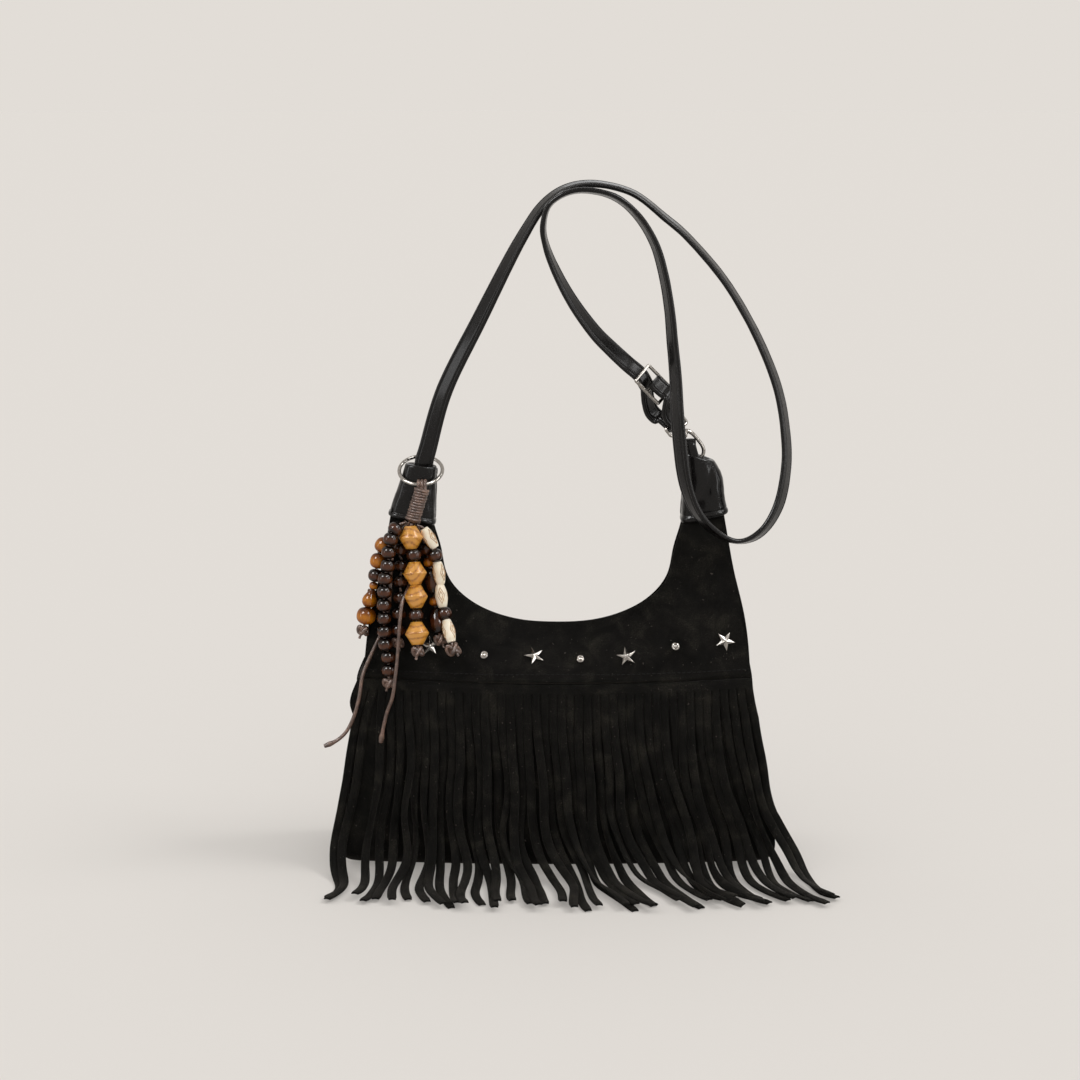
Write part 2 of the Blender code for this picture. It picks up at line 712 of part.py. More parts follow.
def build_hook_eye():
    """Swivel eye: a D of wire that holds the strap, on a headed post through the collar."""
    half = STRAP_WIDTH / 2 + EYE_WIRE + 0.0006

    def at(along, across):
        return HOOK_EYE + HOOK_AXIS * along + EYE_ACROSS * across

    outline = [at(0.0, -half + 0.001), at(0.0, half - 0.001), at(0.001, half),
               at(EYE_DEPTH - 0.0012, half), at(EYE_DEPTH, half - 0.0012),
               at(EYE_DEPTH, 0.0012 - half), at(EYE_DEPTH - 0.0012, -half), at(0.001, -half)]
    ring = as_mesh(wire("hook_eye", outline, EYE_WIRE, NICKEL, closed=True))
    place = frame_at(HOOK_EYE, HOOK_AXIS, EYE_ACROSS)
    head = COLLAR_BOTTOM + GAP
    profile = [(0.0, head + 0.0011), (0.0019, head + 0.0011), (0.0019, head),
               (POST_RADIUS, head), (POST_RADIUS, EYE_DEPTH), (0.0, EYE_DEPTH)]
    post = turned("hook_post", profile, place, NICKEL, 12, CUTTERS)
    return fuse(ring, post)


def build_hook_body():
    """Hook body: a bored collar, a round bar bent into the hook, and two ears for the gate."""
    place = frame_at(HOOK_EYE, HOOK_AXIS, across_run(HOOK_AXIS, 0.0))
    bore = POST_RADIUS + 0.0004
    wall = 0.0033
    profile = [(bore, COLLAR_TOP), (wall - 0.0006, COLLAR_TOP), (wall, COLLAR_TOP + 0.0006),
               (wall, COLLAR_BOTTOM - 0.0004), (wall - 0.0004, COLLAR_BOTTOM),
               (bore, COLLAR_BOTTOM)]
    collar = turned("hook_body", profile, place, NICKEL, 16)
    bar_route = ((9.2, 2.6), (11.0, 4.2), (14.0, 5.0), (18.5, 5.2), (23.0, 5.0), (26.2, 3.9),
                 (28.2, 1.6), (28.4, -1.2), (27.2, -3.6), (25.0, -4.9), (23.6, -5.1))
    points = [hook_at(along * MM, aside * MM) for along, aside in bar_route]
    bar = as_mesh(wire("hook_bar", points, HOOK_WIRE, NICKEL, collection=CUTTERS))
    ears = []
    for side in (-1, 1):
        inner = hook_at(GATE_ALONG, GATE_ASIDE + 0.0006, side * 0.0012)
        bpy.ops.mesh.primitive_cube_add(size=1.0)
        ear = bpy.context.object
        ear.name = "hook_ear_back" if side > 0 else "hook_ear_front"
        for home in list(ear.users_collection):
            home.objects.unlink(ear)
        CUTTERS.objects.link(ear)
        ear.matrix_world = (frame_at(inner + Vector((0.0, side * 0.0004, 0.0)), HOOK_AXIS,
                                     across_run(HOOK_AXIS, 0.0))
                            @ Matrix.Diagonal((0.0036, 0.0008, 0.0028, 1.0)))
        ears.append(ear)
    pin_ends = [hook_at(GATE_ALONG, GATE_ASIDE, end) for end in (-0.0018, 0.0018)]
    pin = as_mesh(wire("hook_pin", pin_ends, 0.0005, NICKEL, collection=CUTTERS))
    return fuse(collar, bar, *ears, pin)


def build_gate():
    """Sprung gate: a hub on the hook's pin and a bar that closes on the nose."""
    pivot = hook_at(GATE_ALONG, GATE_ASIDE)
    hub_half = 0.0009
    profile = [(0.0009, -hub_half), (0.0015, -hub_half), (0.0015, hub_half), (0.0009, hub_half)]
    place = frame_at(pivot, Vector((0.0, 1.0, 0.0)), HOOK_AXIS)
    hub = turned("hook_gate", profile, place, NICKEL, 12)
    bar = as_mesh(wire("gate_bar", [hook_at(0.0108, -0.0049), hook_at(0.016, -0.0050),
                                    hook_at(0.0230, -0.0051)], 0.0008, NICKEL, collection=CUTTERS))
    return fuse(hub, bar)


def build_hook_loop():
    """Leather loop on the right cap, a narrow strip bent over, which the hook holds."""
    crown = hook_at(0.0162, 0.0011)
    foot = Vector((CAP_TOP_X + 0.0010, 0.0, CAP_TOP_Z - CAP_POCKET + GAP))
    up = crown - Vector((0.0, 0.0, LOOP_HALF_SPAN)) * 0.9
    route = []
    for side in (-1, 1):
        y = side * LOOP_HALF_SPAN
        leg = [Vector((foot.x, y, foot.z)), Vector((foot.x, y, CAP_TOP_Z + 0.001)),
               Vector((up.x + (foot.x - up.x) * 0.25, y, up.z - 0.0015))]
        bend = [Vector((up.x, y * math.cos(a), up.z + LOOP_HALF_SPAN * math.sin(a)))
                for a in (math.radians(25), math.radians(55))]
        route += (leg + bend) if side < 0 else (leg + bend)[::-1]
    top = Vector((up.x, 0.0, up.z + LOOP_HALF_SPAN))
    route.insert(len(route) // 2, top)
    rings = []
    for i, point in enumerate(route):
        run = (route[min(i + 1, len(route) - 1)] - route[max(i - 1, 0)]).normalized()
        hint = Vector((1.0, 0.0, 0.0))
        across = (hint - hint.dot(run) * run).normalized()
        face = run.cross(across)
        half_w = LOOP_WIDTH / 2
        half_t = LOOP_THICKNESS / 2
        rings.append([point + across * a + face * b for a, b in
                      ((half_w, -half_t), (half_w, half_t), (-half_w, half_t), (-half_w, -half_t))])
    return loft("hook_loop", rings, LEATHER_BLACK, smooth=False)


RING_CENTRE = Vector((-CAP_TOP_X - 0.0001, -0.001, CAP_TOP_Z - 0.0036))


def build_ring():
    """Polished O-ring that lies round the foot of the strap, low at the front."""
    bpy.ops.mesh.primitive_torus_add(major_segments=26, minor_segments=8,
                                     major_radius=RING_RADIUS, minor_radius=RING_WIRE)
    ring = bpy.context.object
    ring.name = "ring"
    for home in list(ring.users_collection):
        home.objects.unlink(ring)
    BAG.objects.link(ring)
    ring.data.materials.append(NICKEL)
    ring.data.shade_smooth()
    back = RING_CENTRE + Vector((0.0, math.cos(RING_TILT), math.sin(RING_TILT))) * RING_RADIUS
    ring.data.transform(Matrix.Translation((0.0, -RING_RADIUS, 0.0)))
    ring.rotation_euler = (RING_TILT, 0.0, 0.0)
    ring.location = back
    return ring


def ring_front():
    """The middle of the ring's wire at its lowest point, where the charm hangs."""
    return RING_CENTRE - Vector((0.0, math.cos(RING_TILT), math.sin(RING_TILT))) * RING_RADIUS


WRAP_TOP = Vector((RING_CENTRE.x + 0.0012, ring_front().y - 0.0026, WRAP_TOP_Z))
WRAP_BOTTOM = Vector((RING_CENTRE.x - 0.0050, ring_front().y - 0.0032, WRAP_BOTTOM_Z))


def build_wrap():
    """Whipping of waxed cord that binds the strands under the ring, twelve turns deep."""
    length = (WRAP_TOP - WRAP_BOTTOM).length
    profile = [(0.0, length)]
    pitch = length / WRAP_TURNS
    for turn in range(WRAP_TURNS):
        high = length - turn * pitch
        profile.append((WRAP_RADIUS - 0.0007, high))
        profile.append((WRAP_RADIUS, high - pitch / 2))
    profile.append((WRAP_RADIUS - 0.0007, 0.0))
    profile.append((0.0, 0.0))
    place = frame_at(WRAP_BOTTOM, WRAP_TOP - WRAP_BOTTOM, Vector((1.0, 0.0, 0.0)))
    return turned("charm_wrap", profile, place, WAXED_CORD, 10)


def build_charm_loop():
    """Flat bight of cord that goes over the ring and down into the whipping."""
    centre = ring_front()
    centre.x = WRAP_TOP.x
    radius = RING_WIRE + GAP + 0.0011
    width = 0.0020
    rings = []
    low = WRAP_TOP.z + GAP + width * 0.4
    stops = [Vector((0.0, radius, low - centre.z))]
    stops += [Vector((0.0, radius * math.cos(a), radius * math.sin(a)))
              for a in (0.0, math.pi / 4, math.pi / 2, math.pi * 3 / 4, math.pi)]
    stops += [Vector((0.0, -radius, low - centre.z))]
    for i, stop in enumerate(stops):
        run = (stops[min(i + 1, len(stops) - 1)] - stops[max(i - 1, 0)]).normalized()
        across = Vector((1.0, 0.0, 0.0))
        face = run.cross(across)
        point = centre + stop
        half_t = 0.0008
        section = ((width, -half_t * 0.5), (width, half_t * 0.5), (0.6 * width, half_t),
                   (-0.6 * width, half_t), (-width, half_t * 0.5), (-width, -half_t * 0.5),
                   (-0.6 * width, -half_t), (0.6 * width, -half_t))
        rings.append([point + across * a + face * b for a, b in section])
    return loft("charm_loop", rings, WAXED_CORD)


# Beads of each strand, top to bottom: kind, then x and z from the foot of the whipping and the
# distance of the bead's middle in front of the yoke, all in millimetres.
DARK, GOLD, BONES = "dark", "gold", "bone"
STRAND_A = (
    (DARK, -10.4, -3.5, 13.5), (DARK, -13.2, -9.6, 14.8), (DARK, -14.6, -18.2, 14.4),
    (DARK, -15.2, -26.8, 13.6), (DARK, -17.0, -35.4, 12.8), (DARK, -17.4, -44.0, 11.9),
    (DARK, -17.9, -52.6, 10.8), (DARK, -17.7, -61.2, 9.9), (DARK, -17.6, -69.8, 8.6),
    (DARK, -17.0, -78.4, 7.4), (DARK, -15.4, -87.0, 6.6), (DARK, -15.2, -95.6, 6.4),
)
STRAND_C = (
    (GOLD, 0.4, -9.8, 12.8), (DARK, 1.7, -21.3, 13.6), (GOLD, 2.6, -33.2, 14.3),
    (GOLD, 3.1, -48.3, 13.8), (DARK, 3.1, -60.3, 12.8), (GOLD, 3.6, -72.2, 12.2),
)
STRAND_D = (
    (BONES, 12.2, -10.2, 11.4), (DARK, 17.2, -22.2, 12.0), (BONES, 18.4, -34.3, 12.2),
    (BONES, 19.8, -49.4, 12.2), (DARK, 21.9, -61.2, 13.2), (BONES, 24.2, -72.8, 12.4),
)
STRAND_E = (
    ("small", -18.4, -15.0, 6.8), ("amber_round", -22.0, -25.2, 6.6), (DARK, -23.6, -35.4, 5.4),
    ("small", -25.0, -42.6, 4.6), ("gourd", -28.0, -51.4, 3.6), ("amber_large", -30.4, -62.4, 3.6),
)
STRAND_F = (
    (DARK, -7.4, -18.2, 5.0), (DARK, -7.0, -28.6, 5.4), (DARK, -7.6, -39.0, 5.4),
    (DARK, -7.5, -49.4, 5.4), (DARK, -8.4, -60.0, 5.4), (DARK, -8.8, -70.4, 5.4),
)
STRAND_G = (
    (DARK, 8.6, -18.2, 5.4), ("amber_round", 10.2, -28.2, 5.6), ("long", 12.4, -40.6, 5.2),
    ("small", 13.4, -52.0, 5.4), ("long", 15.0, -63.6, 5.0),
)
BEAD_SIZE = {
    DARK: (4.65, 4.15), GOLD: (7.7, 7.35), BONES: (3.85, 7.3), "small": (2.7, 2.5),
    "amber_round": (4.8, 4.6), "amber_large": (5.8, 5.6), "gourd": (4.6, 5.4), "long": (4.1, 7.2),
}


def bead_place(entry):
    kind, dx, dz, standoff = entry
    x = WRAP_BOTTOM.x + dx * MM
    z = WRAP_BOTTOM.z + dz * MM
    edge = side_x(z)
    inside = max(-edge, min(edge, x))
    return Vector((x, -skin_depth(inside, z) - standoff * MM, z))


def wrap_foot(across, out):
    """A point just under the whipping's lower end, in millimetres from its middle."""
    place = frame_at(WRAP_BOTTOM, WRAP_TOP - WRAP_BOTTOM, Vector((1.0, 0.0, 0.0)))
    return place @ Vector((across * MM, out * MM, -0.0011))


def strand_axis(start, places, i):
    """The direction up a strand at one of its beads."""
    above = places[i - 1] if i else start
    return (above - places[min(i + 1, len(places) - 1)]).normalized()


def build_fused_strand(name, beads, material, foot):
    """A strand whose beads sit tight on their cord: one turned form along its route."""
    places = [bead_place(bead) for bead in beads]
    points = [wrap_foot(*foot)]
    sizes = [STRAND_CORD]
    for i, bead in enumerate(beads):
        radius, half = (value * MM for value in BEAD_SIZE[bead[0]])
        axis = strand_axis(points[0], places, i)
        for share, width in ((0.98, 0.42), (0.55, 0.88), (0.0, 1.0), (-0.55, 0.88), (-0.98, 0.42)):
            points.append(places[i] + axis * half * share)
            sizes.append(radius * width)
    end = strand_axis(points[0], places, len(beads) - 1)
    half = BEAD_SIZE[beads[-1][0]][1] * MM
    for down, size in ((0.0012, 0.0010), (0.0030, 0.0022), (0.0052, 0.0011), (0.0090, 0.0009)):
        points.append(places[-1] - end * (half + down))
        sizes.append(size)
    return wire(name, points, 1.0, material, sizes=sizes, sides=1)


def bead_profile(kind):
    radius, half = (value * MM for value in BEAD_SIZE[kind])
    if kind == GOLD:
        return [(BEAD_BORE, half), (0.0034, half), (radius, 0.0006), (radius, -0.0006),
                (0.0034, -half), (BEAD_BORE, -half)]
    if kind == BONES:
        return [(BEAD_BORE, half), (0.0024, half), (radius * 0.92, half * 0.45), (radius, 0.0),
                (radius * 0.92, -half * 0.45), (0.0024, -half), (BEAD_BORE, -half)]
    return [(BEAD_BORE, half), (radius * 0.62, half * 0.92), (radius, half * 0.3),
            (radius, -half * 0.3), (radius * 0.62, -half * 0.92), (BEAD_BORE, -half)]


def build_bored_strand(letter, beads, foot):
    """A strand with loose beads, each a turned solid with a bore, on a knotted cord."""
    places = [bead_place(bead) for bead in beads]
    skins = {DARK: DARK_BEADS, GOLD: GOLDEN_WOOD, BONES: BONE}
    points = [wrap_foot(*foot)]
    for i, bead in enumerate(beads):
        axis = strand_axis(points[0], places, i)
        half = BEAD_SIZE[bead[0]][1] * MM
        place = frame_at(places[i], axis, Vector((1.0, 0.0, 0.0)))
        turned(f"bead_{letter}{i + 1}_{bead[0]}", bead_profile(bead[0]), place,
               skins[bead[0]], 8)
        points += [places[i] + axis * half, places[i] - axis * half]
    axis = strand_axis(points[0], places, len(beads) - 1)
    half = BEAD_SIZE[beads[-1][0]][1] * MM
    sizes = [1.0] * len(points)
    for down, size in ((0.0010, 1.2), (0.0032, 3.0), (0.0056, 1.3), (0.0092, 1.1)):
        points.append(places[-1] - axis * (half + down))
        sizes.append(size)
    return wire(f"strand_{letter}_cord", points, STRAND_CORD, WAXED_CORD, sizes=sizes)


# Routes of the two long tails of cord, in millimetres: x and z from the foot of the whipping,
# and the distance in front of the yoke or panel.
TAIL_ONE = (
    (1.3, -3.0, 6.0), (1.3, -6.0, 4.2), (1.3, -9.5, 2.7), (1.4, -15.0, 3.0),
    (1.4, -24.0, 3.2), (1.0, -33.5, 3.2), (-1.0, -38.2, 6.0), (-2.4, -40.8, 9.8),
    (-4.4, -43.8, 13.4), (-6.6, -48.2, 14.2), (-7.2, -56.0, 13.6), (-7.8, -66.0, 12.8),
    (-8.6, -76.0, 12.2), (-9.4, -86.0, 11.8), (-10.6, -96.0, 11.6), (-12.4, -108.0, 11.0),
    (-16.6, -120.0, 9.0), (-20.4, -138.0, 6.6),
)
TAIL_TWO = (
    (-4.7, -3.2, 8.6), (-9.0, -9.4, 7.8), (-12.4, -20.0, 7.6), (-13.6, -32.0, 6.6),
    (-14.0, -44.0, 5.6), (-15.6, -56.0, 3.6), (-19.0, -68.0, 2.4), (-25.6, -82.0, 3.0),
    (-31.6, -97.0, 4.2), (-33.2, -110.0, 5.0), (-35.6, -122.0, 5.2), (-40.0, -134.0, 5.2),
    (-46.0, -141.0, 5.0), (-54.0, -145.0, 5.0),
)


def build_tail(name, route, foot, count):
    """A loose tail of waxed cord with a small knot at its end."""
    points = [wrap_foot(*foot)]
    for dx, dz, off in route:
        x = WRAP_BOTTOM.x + dx * MM
        z = WRAP_BOTTOM.z + dz * MM
        edge = side_x(z)
        points.append(Vector((x, -skin_depth(max(-edge, x), z) - off * MM, z)))
    path = smooth_path(points, count)
    sizes = [1.0] * (count - 2) + [1.7, 1.0]
    return wire(name, path, TAIL_CORD, WAXED_CORD, sizes=sizes)


def skin_place(carrier, radius, x, z, side=-1.0, inside=False):
    """A matrix at x and z whose Z points away from the skin, set down on the carrier's facets."""
    step = 0.003

    def at(px, pz):
        depth = skin_depth(px, pz)
        if inside:
            depth -= SUEDE + LINING_CLEARANCE + LINING
        return Vector((px, side * depth, pz))

    right = at(x + step, z) - at(x - step, z)
    upward = at(x, z + step) - at(x, z - step)
    normal = right.cross(upward).normalized()
    if (normal.y < 0) != ((side < 0) != inside):
        normal = -normal
    place = frame_at(at(x, z), normal, right)
    tree = BVHTree.FromObject(carrier, bpy.context.evaluated_depsgraph_get())
    reach = 0.02
    heights = []
    for spoke in range(12):
        for share in (0.0, 0.5, 1.0):
            angle = math.radians(30 * spoke)
            ring = Vector((math.cos(angle), math.sin(angle), 0.0)) * radius * share
            hit = tree.ray_cast(place @ (ring + Vector((0.0, 0.0, reach))), -normal, 2 * reach)
            if hit[0] is not None:
                heights.append(reach - hit[3])
    return place @ Matrix.Translation((0.0, 0.0, max(heights) + GAP))


def build_star(name, carrier, x, z):
    """Five-pointed stud, pressed from sheet with a raised middle."""
    bm = bmesh.new()
    made = bmesh.ops.create_circle(bm, cap_ends=True, segments=10, radius=STAR_RADIUS)
    for i, vert in enumerate(made["verts"]):
        angle = math.atan2(vert.co.y, vert.co.x) - math.pi / 2
        spoke = round(angle / (math.pi / 5))
        size = STAR_RADIUS if spoke % 2 == 0 else STAR_RADIUS * 0.42
        vert.co = Vector((math.cos(spoke * math.pi / 5 + math.pi / 2),
                          math.sin(spoke * math.pi / 5 + math.pi / 2), 0.0)) * size
    extruded = bmesh.ops.extrude_face_region(bm, geom=bm.faces[:])
    verts = [item for item in extruded["geom"] if isinstance(item, bmesh.types.BMVert)]
    bmesh.ops.translate(bm, verts=verts, vec=(0.0, 0.0, 0.0005))
    face = max(bm.faces, key=lambda item: item.calc_center_median().z)
    poked = bmesh.ops.poke(bm, faces=[face])
    poked["verts"][0].co.z = STAR_HEIGHT
    star = finish_mesh(name, bm, NICKEL, smooth=False)
    star.matrix_world = skin_place(carrier, STAR_RADIUS, x, z)
    return star


def build_dome(name, carrier, x, z):
    """Small round stud."""
    profile = [(0.0, DOME_HEIGHT), (DOME_RADIUS * 0.6, DOME_HEIGHT * 0.8),
               (DOME_RADIUS, DOME_HEIGHT * 0.3), (DOME_RADIUS, 0.0), (0.0, 0.0)]
    return turned(name, profile, skin_place(carrier, DOME_RADIUS, x, z), NICKEL, 10)


def build_snap(name, carrier, side):
    """Half of the magnetic snap, on the lining under the middle of the mouth."""
    radius = 0.0075
    thick = 0.0022
    if side < 0:
        profile = [(0.0, thick), (radius * 0.45, thick), (radius * 0.45, thick * 0.6),
                   (radius * 0.8, thick * 0.9), (radius, thick * 0.5), (radius, 0.0), (0.0, 0.0)]
    else:
        profile = [(0.0, thick * 1.4), (radius * 0.4, thick * 1.4), (radius * 0.4, thick * 0.6),
                   (radius * 0.9, thick * 0.6), (radius, thick * 0.4), (radius, 0.0), (0.0, 0.0)]
    z = MOUTH_CENTRE_Z - MOUTH_DROP - 0.017
    return turned(name, profile, skin_place(carrier, radius, 0.0, z, side, inside=True), NICKEL, 14)


build_base()
build_gusset("gusset_left", -1)
build_gusset("gusset_right", 1)
build_lower_panel("front_panel", -1)
build_lower_panel("back_panel", 1)
front_yoke = build_yoke("front_yoke", -1, MOUTH_DROP)
build_yoke("back_yoke", 1, MOUTH_DROP + BACK_MOUTH_EXTRA_DROP)
lining = build_lining()
build_snap("snap_socket", lining, -1)
build_snap("snap_stud", lining, 1)
build_fringe()

build_cap("cap_left", -1, -STRAP_ROUTE[0][0] * MM, STRAP_WIDTH / 2 + 0.0004, 0.0045)
build_cap("cap_right", 1, CAP_TOP_X + 0.0010, LOOP_WIDTH / 2 + 0.0004,
          LOOP_HALF_SPAN + LOOP_THICKNESS / 2 + 0.0004)
build_strap()
build_slider()
build_hook_eye()
build_hook_body()
build_gate()
build_hook_loop()
build_ring()

for number, (stud_x, stud_z) in enumerate(((-0.081, 0.142), (-0.0135, 0.1375), (0.0443, 0.1375),
                                           (0.1070, 0.1480))):
    build_star(f"star_{number + 1}", front_yoke, stud_x, stud_z)
for number, (stud_x, stud_z) in enumerate(((-0.0466, 0.1385), (0.0150, 0.1360), (0.0750, 0.1435))):
    build_dome(f"dome_{number + 1}", front_yoke, stud_x, stud_z)

build_wrap()
build_charm_loop()
build_fused_strand("strand_a", STRAND_A, DARK_BEADS, (-3.5, -1.6))
build_bored_strand("c", STRAND_C, (0.8, -3.6))
build_bored_strand("d", STRAND_D, (3.6, -1.6))
build_fused_strand("strand_e", STRAND_E, AMBER_BEADS, (-3.9, 1.3))
build_fused_strand("strand_f", STRAND_F, DARK_BEADS, (-1.7, 3.6))
build_fused_strand("strand_g", STRAND_G, DARK_BEADS, (3.2, 2.5))
build_tail("tail_one", TAIL_ONE, (1.2, 0.6), 28)
build_tail("tail_two", TAIL_TWO, (-1.2, -1.1), 32)

# The charm turns about the ring's wire, so its pieces hang from an empty placed there
charm_axis = bpy.data.objects.new("charm_axis", None)
charm_axis.location = ring_front()
for piece in list(BAG.objects):
    if piece.name.startswith(("charm_", "strand_", "bead_", "tail_")):
        piece.parent = charm_axis
        piece.matrix_parent_inverse = Matrix.Translation(-charm_axis.location)
BAG.objects.link(charm_axis)
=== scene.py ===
import math
import random

import bmesh
import bpy
from mathutils import Matrix, Vector, noise


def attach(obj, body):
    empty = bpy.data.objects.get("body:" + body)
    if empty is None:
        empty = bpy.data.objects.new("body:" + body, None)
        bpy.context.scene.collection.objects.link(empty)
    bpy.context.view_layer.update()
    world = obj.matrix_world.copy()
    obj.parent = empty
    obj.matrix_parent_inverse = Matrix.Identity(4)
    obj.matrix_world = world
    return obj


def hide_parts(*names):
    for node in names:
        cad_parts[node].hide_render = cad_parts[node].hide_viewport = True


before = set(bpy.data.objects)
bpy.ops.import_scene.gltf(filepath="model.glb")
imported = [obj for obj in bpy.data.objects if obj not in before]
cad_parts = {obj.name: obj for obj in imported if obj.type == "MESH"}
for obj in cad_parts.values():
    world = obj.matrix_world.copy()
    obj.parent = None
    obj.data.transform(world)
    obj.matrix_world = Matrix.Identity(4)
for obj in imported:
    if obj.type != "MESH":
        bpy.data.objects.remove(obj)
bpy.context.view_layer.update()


# Camera: a long lens a little above the bag, looking straight at its front.
MM = 0.001
RIGHT = Vector((1.0, 0.0, 0.0))
BACK = Vector((0.0, 1.0, 0.0))
UP = Vector((0.0, 0.0, 1.0))
CAMERA_TARGET = Vector((-0.011, 0.0, 0.207))
CAMERA_DISTANCE = 1.4
CAMERA_RISE = math.radians(12)


def add_object(name, data):
    """A new object in the scene."""
    added = bpy.data.objects.new(name, data)
    bpy.context.scene.collection.objects.link(added)
    return added


camera_data = bpy.data.cameras.new("camera")
camera_data.lens = 73.0
camera_data.sensor_width = 36.0
camera = add_object("camera", camera_data)
away = Vector((0.0, -math.cos(CAMERA_RISE), math.sin(CAMERA_RISE)))
camera.location = CAMERA_TARGET + away * CAMERA_DISTANCE
camera.rotation_euler = (math.pi / 2 - CAMERA_RISE, 0.0, 0.0)
bpy.context.scene.camera = camera
bpy.context.scene.view_settings.view_transform = "Standard"


# Loose tails of the charm: two lengths of waxed cotton cord, 2.3 mm thick and limp, that come
# out of the whipping's lower end, hang between the beads and end in a small knot.
BASE_HALF_WIDTH = 0.1427
HORN_OUTER_X = 0.1060
HORN_INNER_X = 0.0810
HEM_Z = 0.2230
HORN_TOP_Z = 0.2295
SIDE_BOW = 0.0038
SIDE_BOW_Z = 0.155
SIDE_BOW_REACH = 0.033
CORNER_RADIUS = 0.018
SEAM_Z = 0.1230
MOUTH_CENTRE_Z = 0.2200
MOUTH_DROP = 0.0650
BASE_HALF_DEPTH = 0.036
SEAM_HALF_DEPTH = 0.026
HORN_HALF_DEPTH = 0.008
MOUTH_HALF_DEPTH = 0.007
BELLY = 0.007
CAP_TOP_X = 0.0865
CAP_TOP_Z = 0.2560
RING_RADIUS = 0.0137
RING_WIRE = 0.0012
RING_TILT = math.radians(31)
RING_CENTRE = Vector((-CAP_TOP_X - 0.0001, -0.001, CAP_TOP_Z - 0.0036))
RING_FRONT = RING_CENTRE - Vector((0.0, math.cos(RING_TILT), math.sin(RING_TILT))) * RING_RADIUS
WRAP_TOP = Vector((RING_CENTRE.x + 0.0012, RING_FRONT.y - 0.0026, 0.2422))
WRAP_BOTTOM = Vector((RING_CENTRE.x - 0.0050, RING_FRONT.y - 0.0032, 0.2222))
TAIL_RADIUS = 1.15 * MM
TAIL_STATIONS = 90
TAIL_KNOT_STATION = TAIL_STATIONS - 3

# Points down each tail in millimetres: across and up from the whipping's foot, and how far the
# cord stands in front of the yoke or the panel.
TAIL_ONE = (
    (1.3, -3.0, 6.0), (1.3, -6.0, 4.2), (1.3, -9.5, 2.7), (1.4, -15.0, 3.0),
    (1.4, -24.0, 3.2), (1.0, -33.5, 3.2), (-1.0, -38.2, 6.0), (-2.4, -40.8, 9.8),
    (-4.0, -43.8, 13.4), (-5.8, -48.2, 14.2), (-7.0, -56.0, 13.6), (-7.8, -66.0, 12.8),
    (-8.6, -76.0, 12.2), (-9.4, -86.0, 11.8), (-10.6, -96.0, 11.6), (-12.4, -108.0, 11.0),
    (-16.6, -120.0, 9.0), (-20.4, -138.0, 6.6),
)
TAIL_TWO = (
    (-4.7, -3.2, 8.6), (-9.0, -9.4, 7.8), (-12.4, -20.0, 7.6), (-13.6, -32.0, 6.6),
    (-14.0, -44.0, 5.6), (-15.6, -56.0, 3.6), (-19.0, -68.0, 2.4), (-25.6, -82.0, 3.0),
    (-31.6, -96.0, 4.2), (-33.6, -108.0, 5.0), (-36.6, -120.0, 5.2), (-41.6, -131.0, 5.2),
    (-48.2, -137.6, 5.0), (-56.4, -141.4, 5.0),
)


def clamp(value):
    """The value, kept between 0 and 1."""
    return max(0.0, min(1.0, value))


def hump(value, centre, spread):
    """A smooth hump: 1 at its centre, and near 0 two spreads away."""
    return math.exp(-((value - centre) / spread) ** 2)


def side_x(z):
    """Half-width of the body's outline at a height."""
    x = BASE_HALF_WIDTH - (BASE_HALF_WIDTH - HORN_OUTER_X) * z / HEM_Z
    x += SIDE_BOW * hump(z, SIDE_BOW_Z, SIDE_BOW_REACH)
    if z < CORNER_RADIUS:
        x -= CORNER_RADIUS - math.sqrt(CORNER_RADIUS ** 2 - (CORNER_RADIUS - z) ** 2)
    return x


def gusset_depth(z):
    """Half-depth of the body at its side edge."""
    fall = (BASE_HALF_DEPTH - SEAM_HALF_DEPTH) / (BASE_HALF_DEPTH - HORN_HALF_DEPTH)
    power = math.log(fall) / math.log(SEAM_Z / HEM_Z)
    return BASE_HALF_DEPTH - (BASE_HALF_DEPTH - HORN_HALF_DEPTH) * clamp(z / HEM_Z) ** power


def skin_depth(x, z):
    """Half-depth of the body: full at the seam and pinched towards the mouth's edge."""
    z = max(z, 0.0)
    across = clamp(abs(x) / side_x(z))
    full = gusset_depth(z) + BELLY * (1.0 - across ** 2)
    rise = min(0.0, (z - MOUTH_CENTRE_Z) / MOUTH_DROP)
    reach = math.hypot(x / HORN_INNER_X, rise)
    seam_reach = (MOUTH_CENTRE_Z - SEAM_Z) / MOUTH_DROP
    swell = clamp((reach - 1.0) / (seam_reach - 1.0))
    swell = 0.5 * swell + 0.5 * swell * swell * (3.0 - 2.0 * swell)
    return MOUTH_HALF_DEPTH + (full - MOUTH_HALF_DEPTH) * swell


def smooth_path(points, count):
    """Evenly spaced points on a smooth curve through the given ones, measured in x, y and z."""
    dense = []
    steps = 16
    for i in range(len(points) - 1):
        before = points[max(i - 1, 0)]
        start = points[i]
        end = points[i + 1]
        after = points[min(i + 2, len(points) - 1)]
        for step in range(steps):
            t = step / steps
            dense.append(
                0.5 * (2 * start + (end - before) * t
                       + (2 * before - 5 * start + 4 * end - after) * t ** 2
                       + (3 * start - before - 3 * end + after) * t ** 3)
            )
    dense.append(points[-1].copy())
    lengths = [0.0]
    for a, b in zip(dense, dense[1:]):
        lengths.append(lengths[-1] + (Vector(b[:3]) - Vector(a[:3])).length)
    result = []
    j = 0
    for k in range(count):
        wanted = lengths[-1] * k / (count - 1)
        while j < len(lengths) - 2 and lengths[j + 1] < wanted:
            j += 1
        span = lengths[j + 1] - lengths[j]
        share = (wanted - lengths[j]) / span if span else 0.0
        result.append(dense[j] + (dense[j + 1] - dense[j]) * share)
    return result


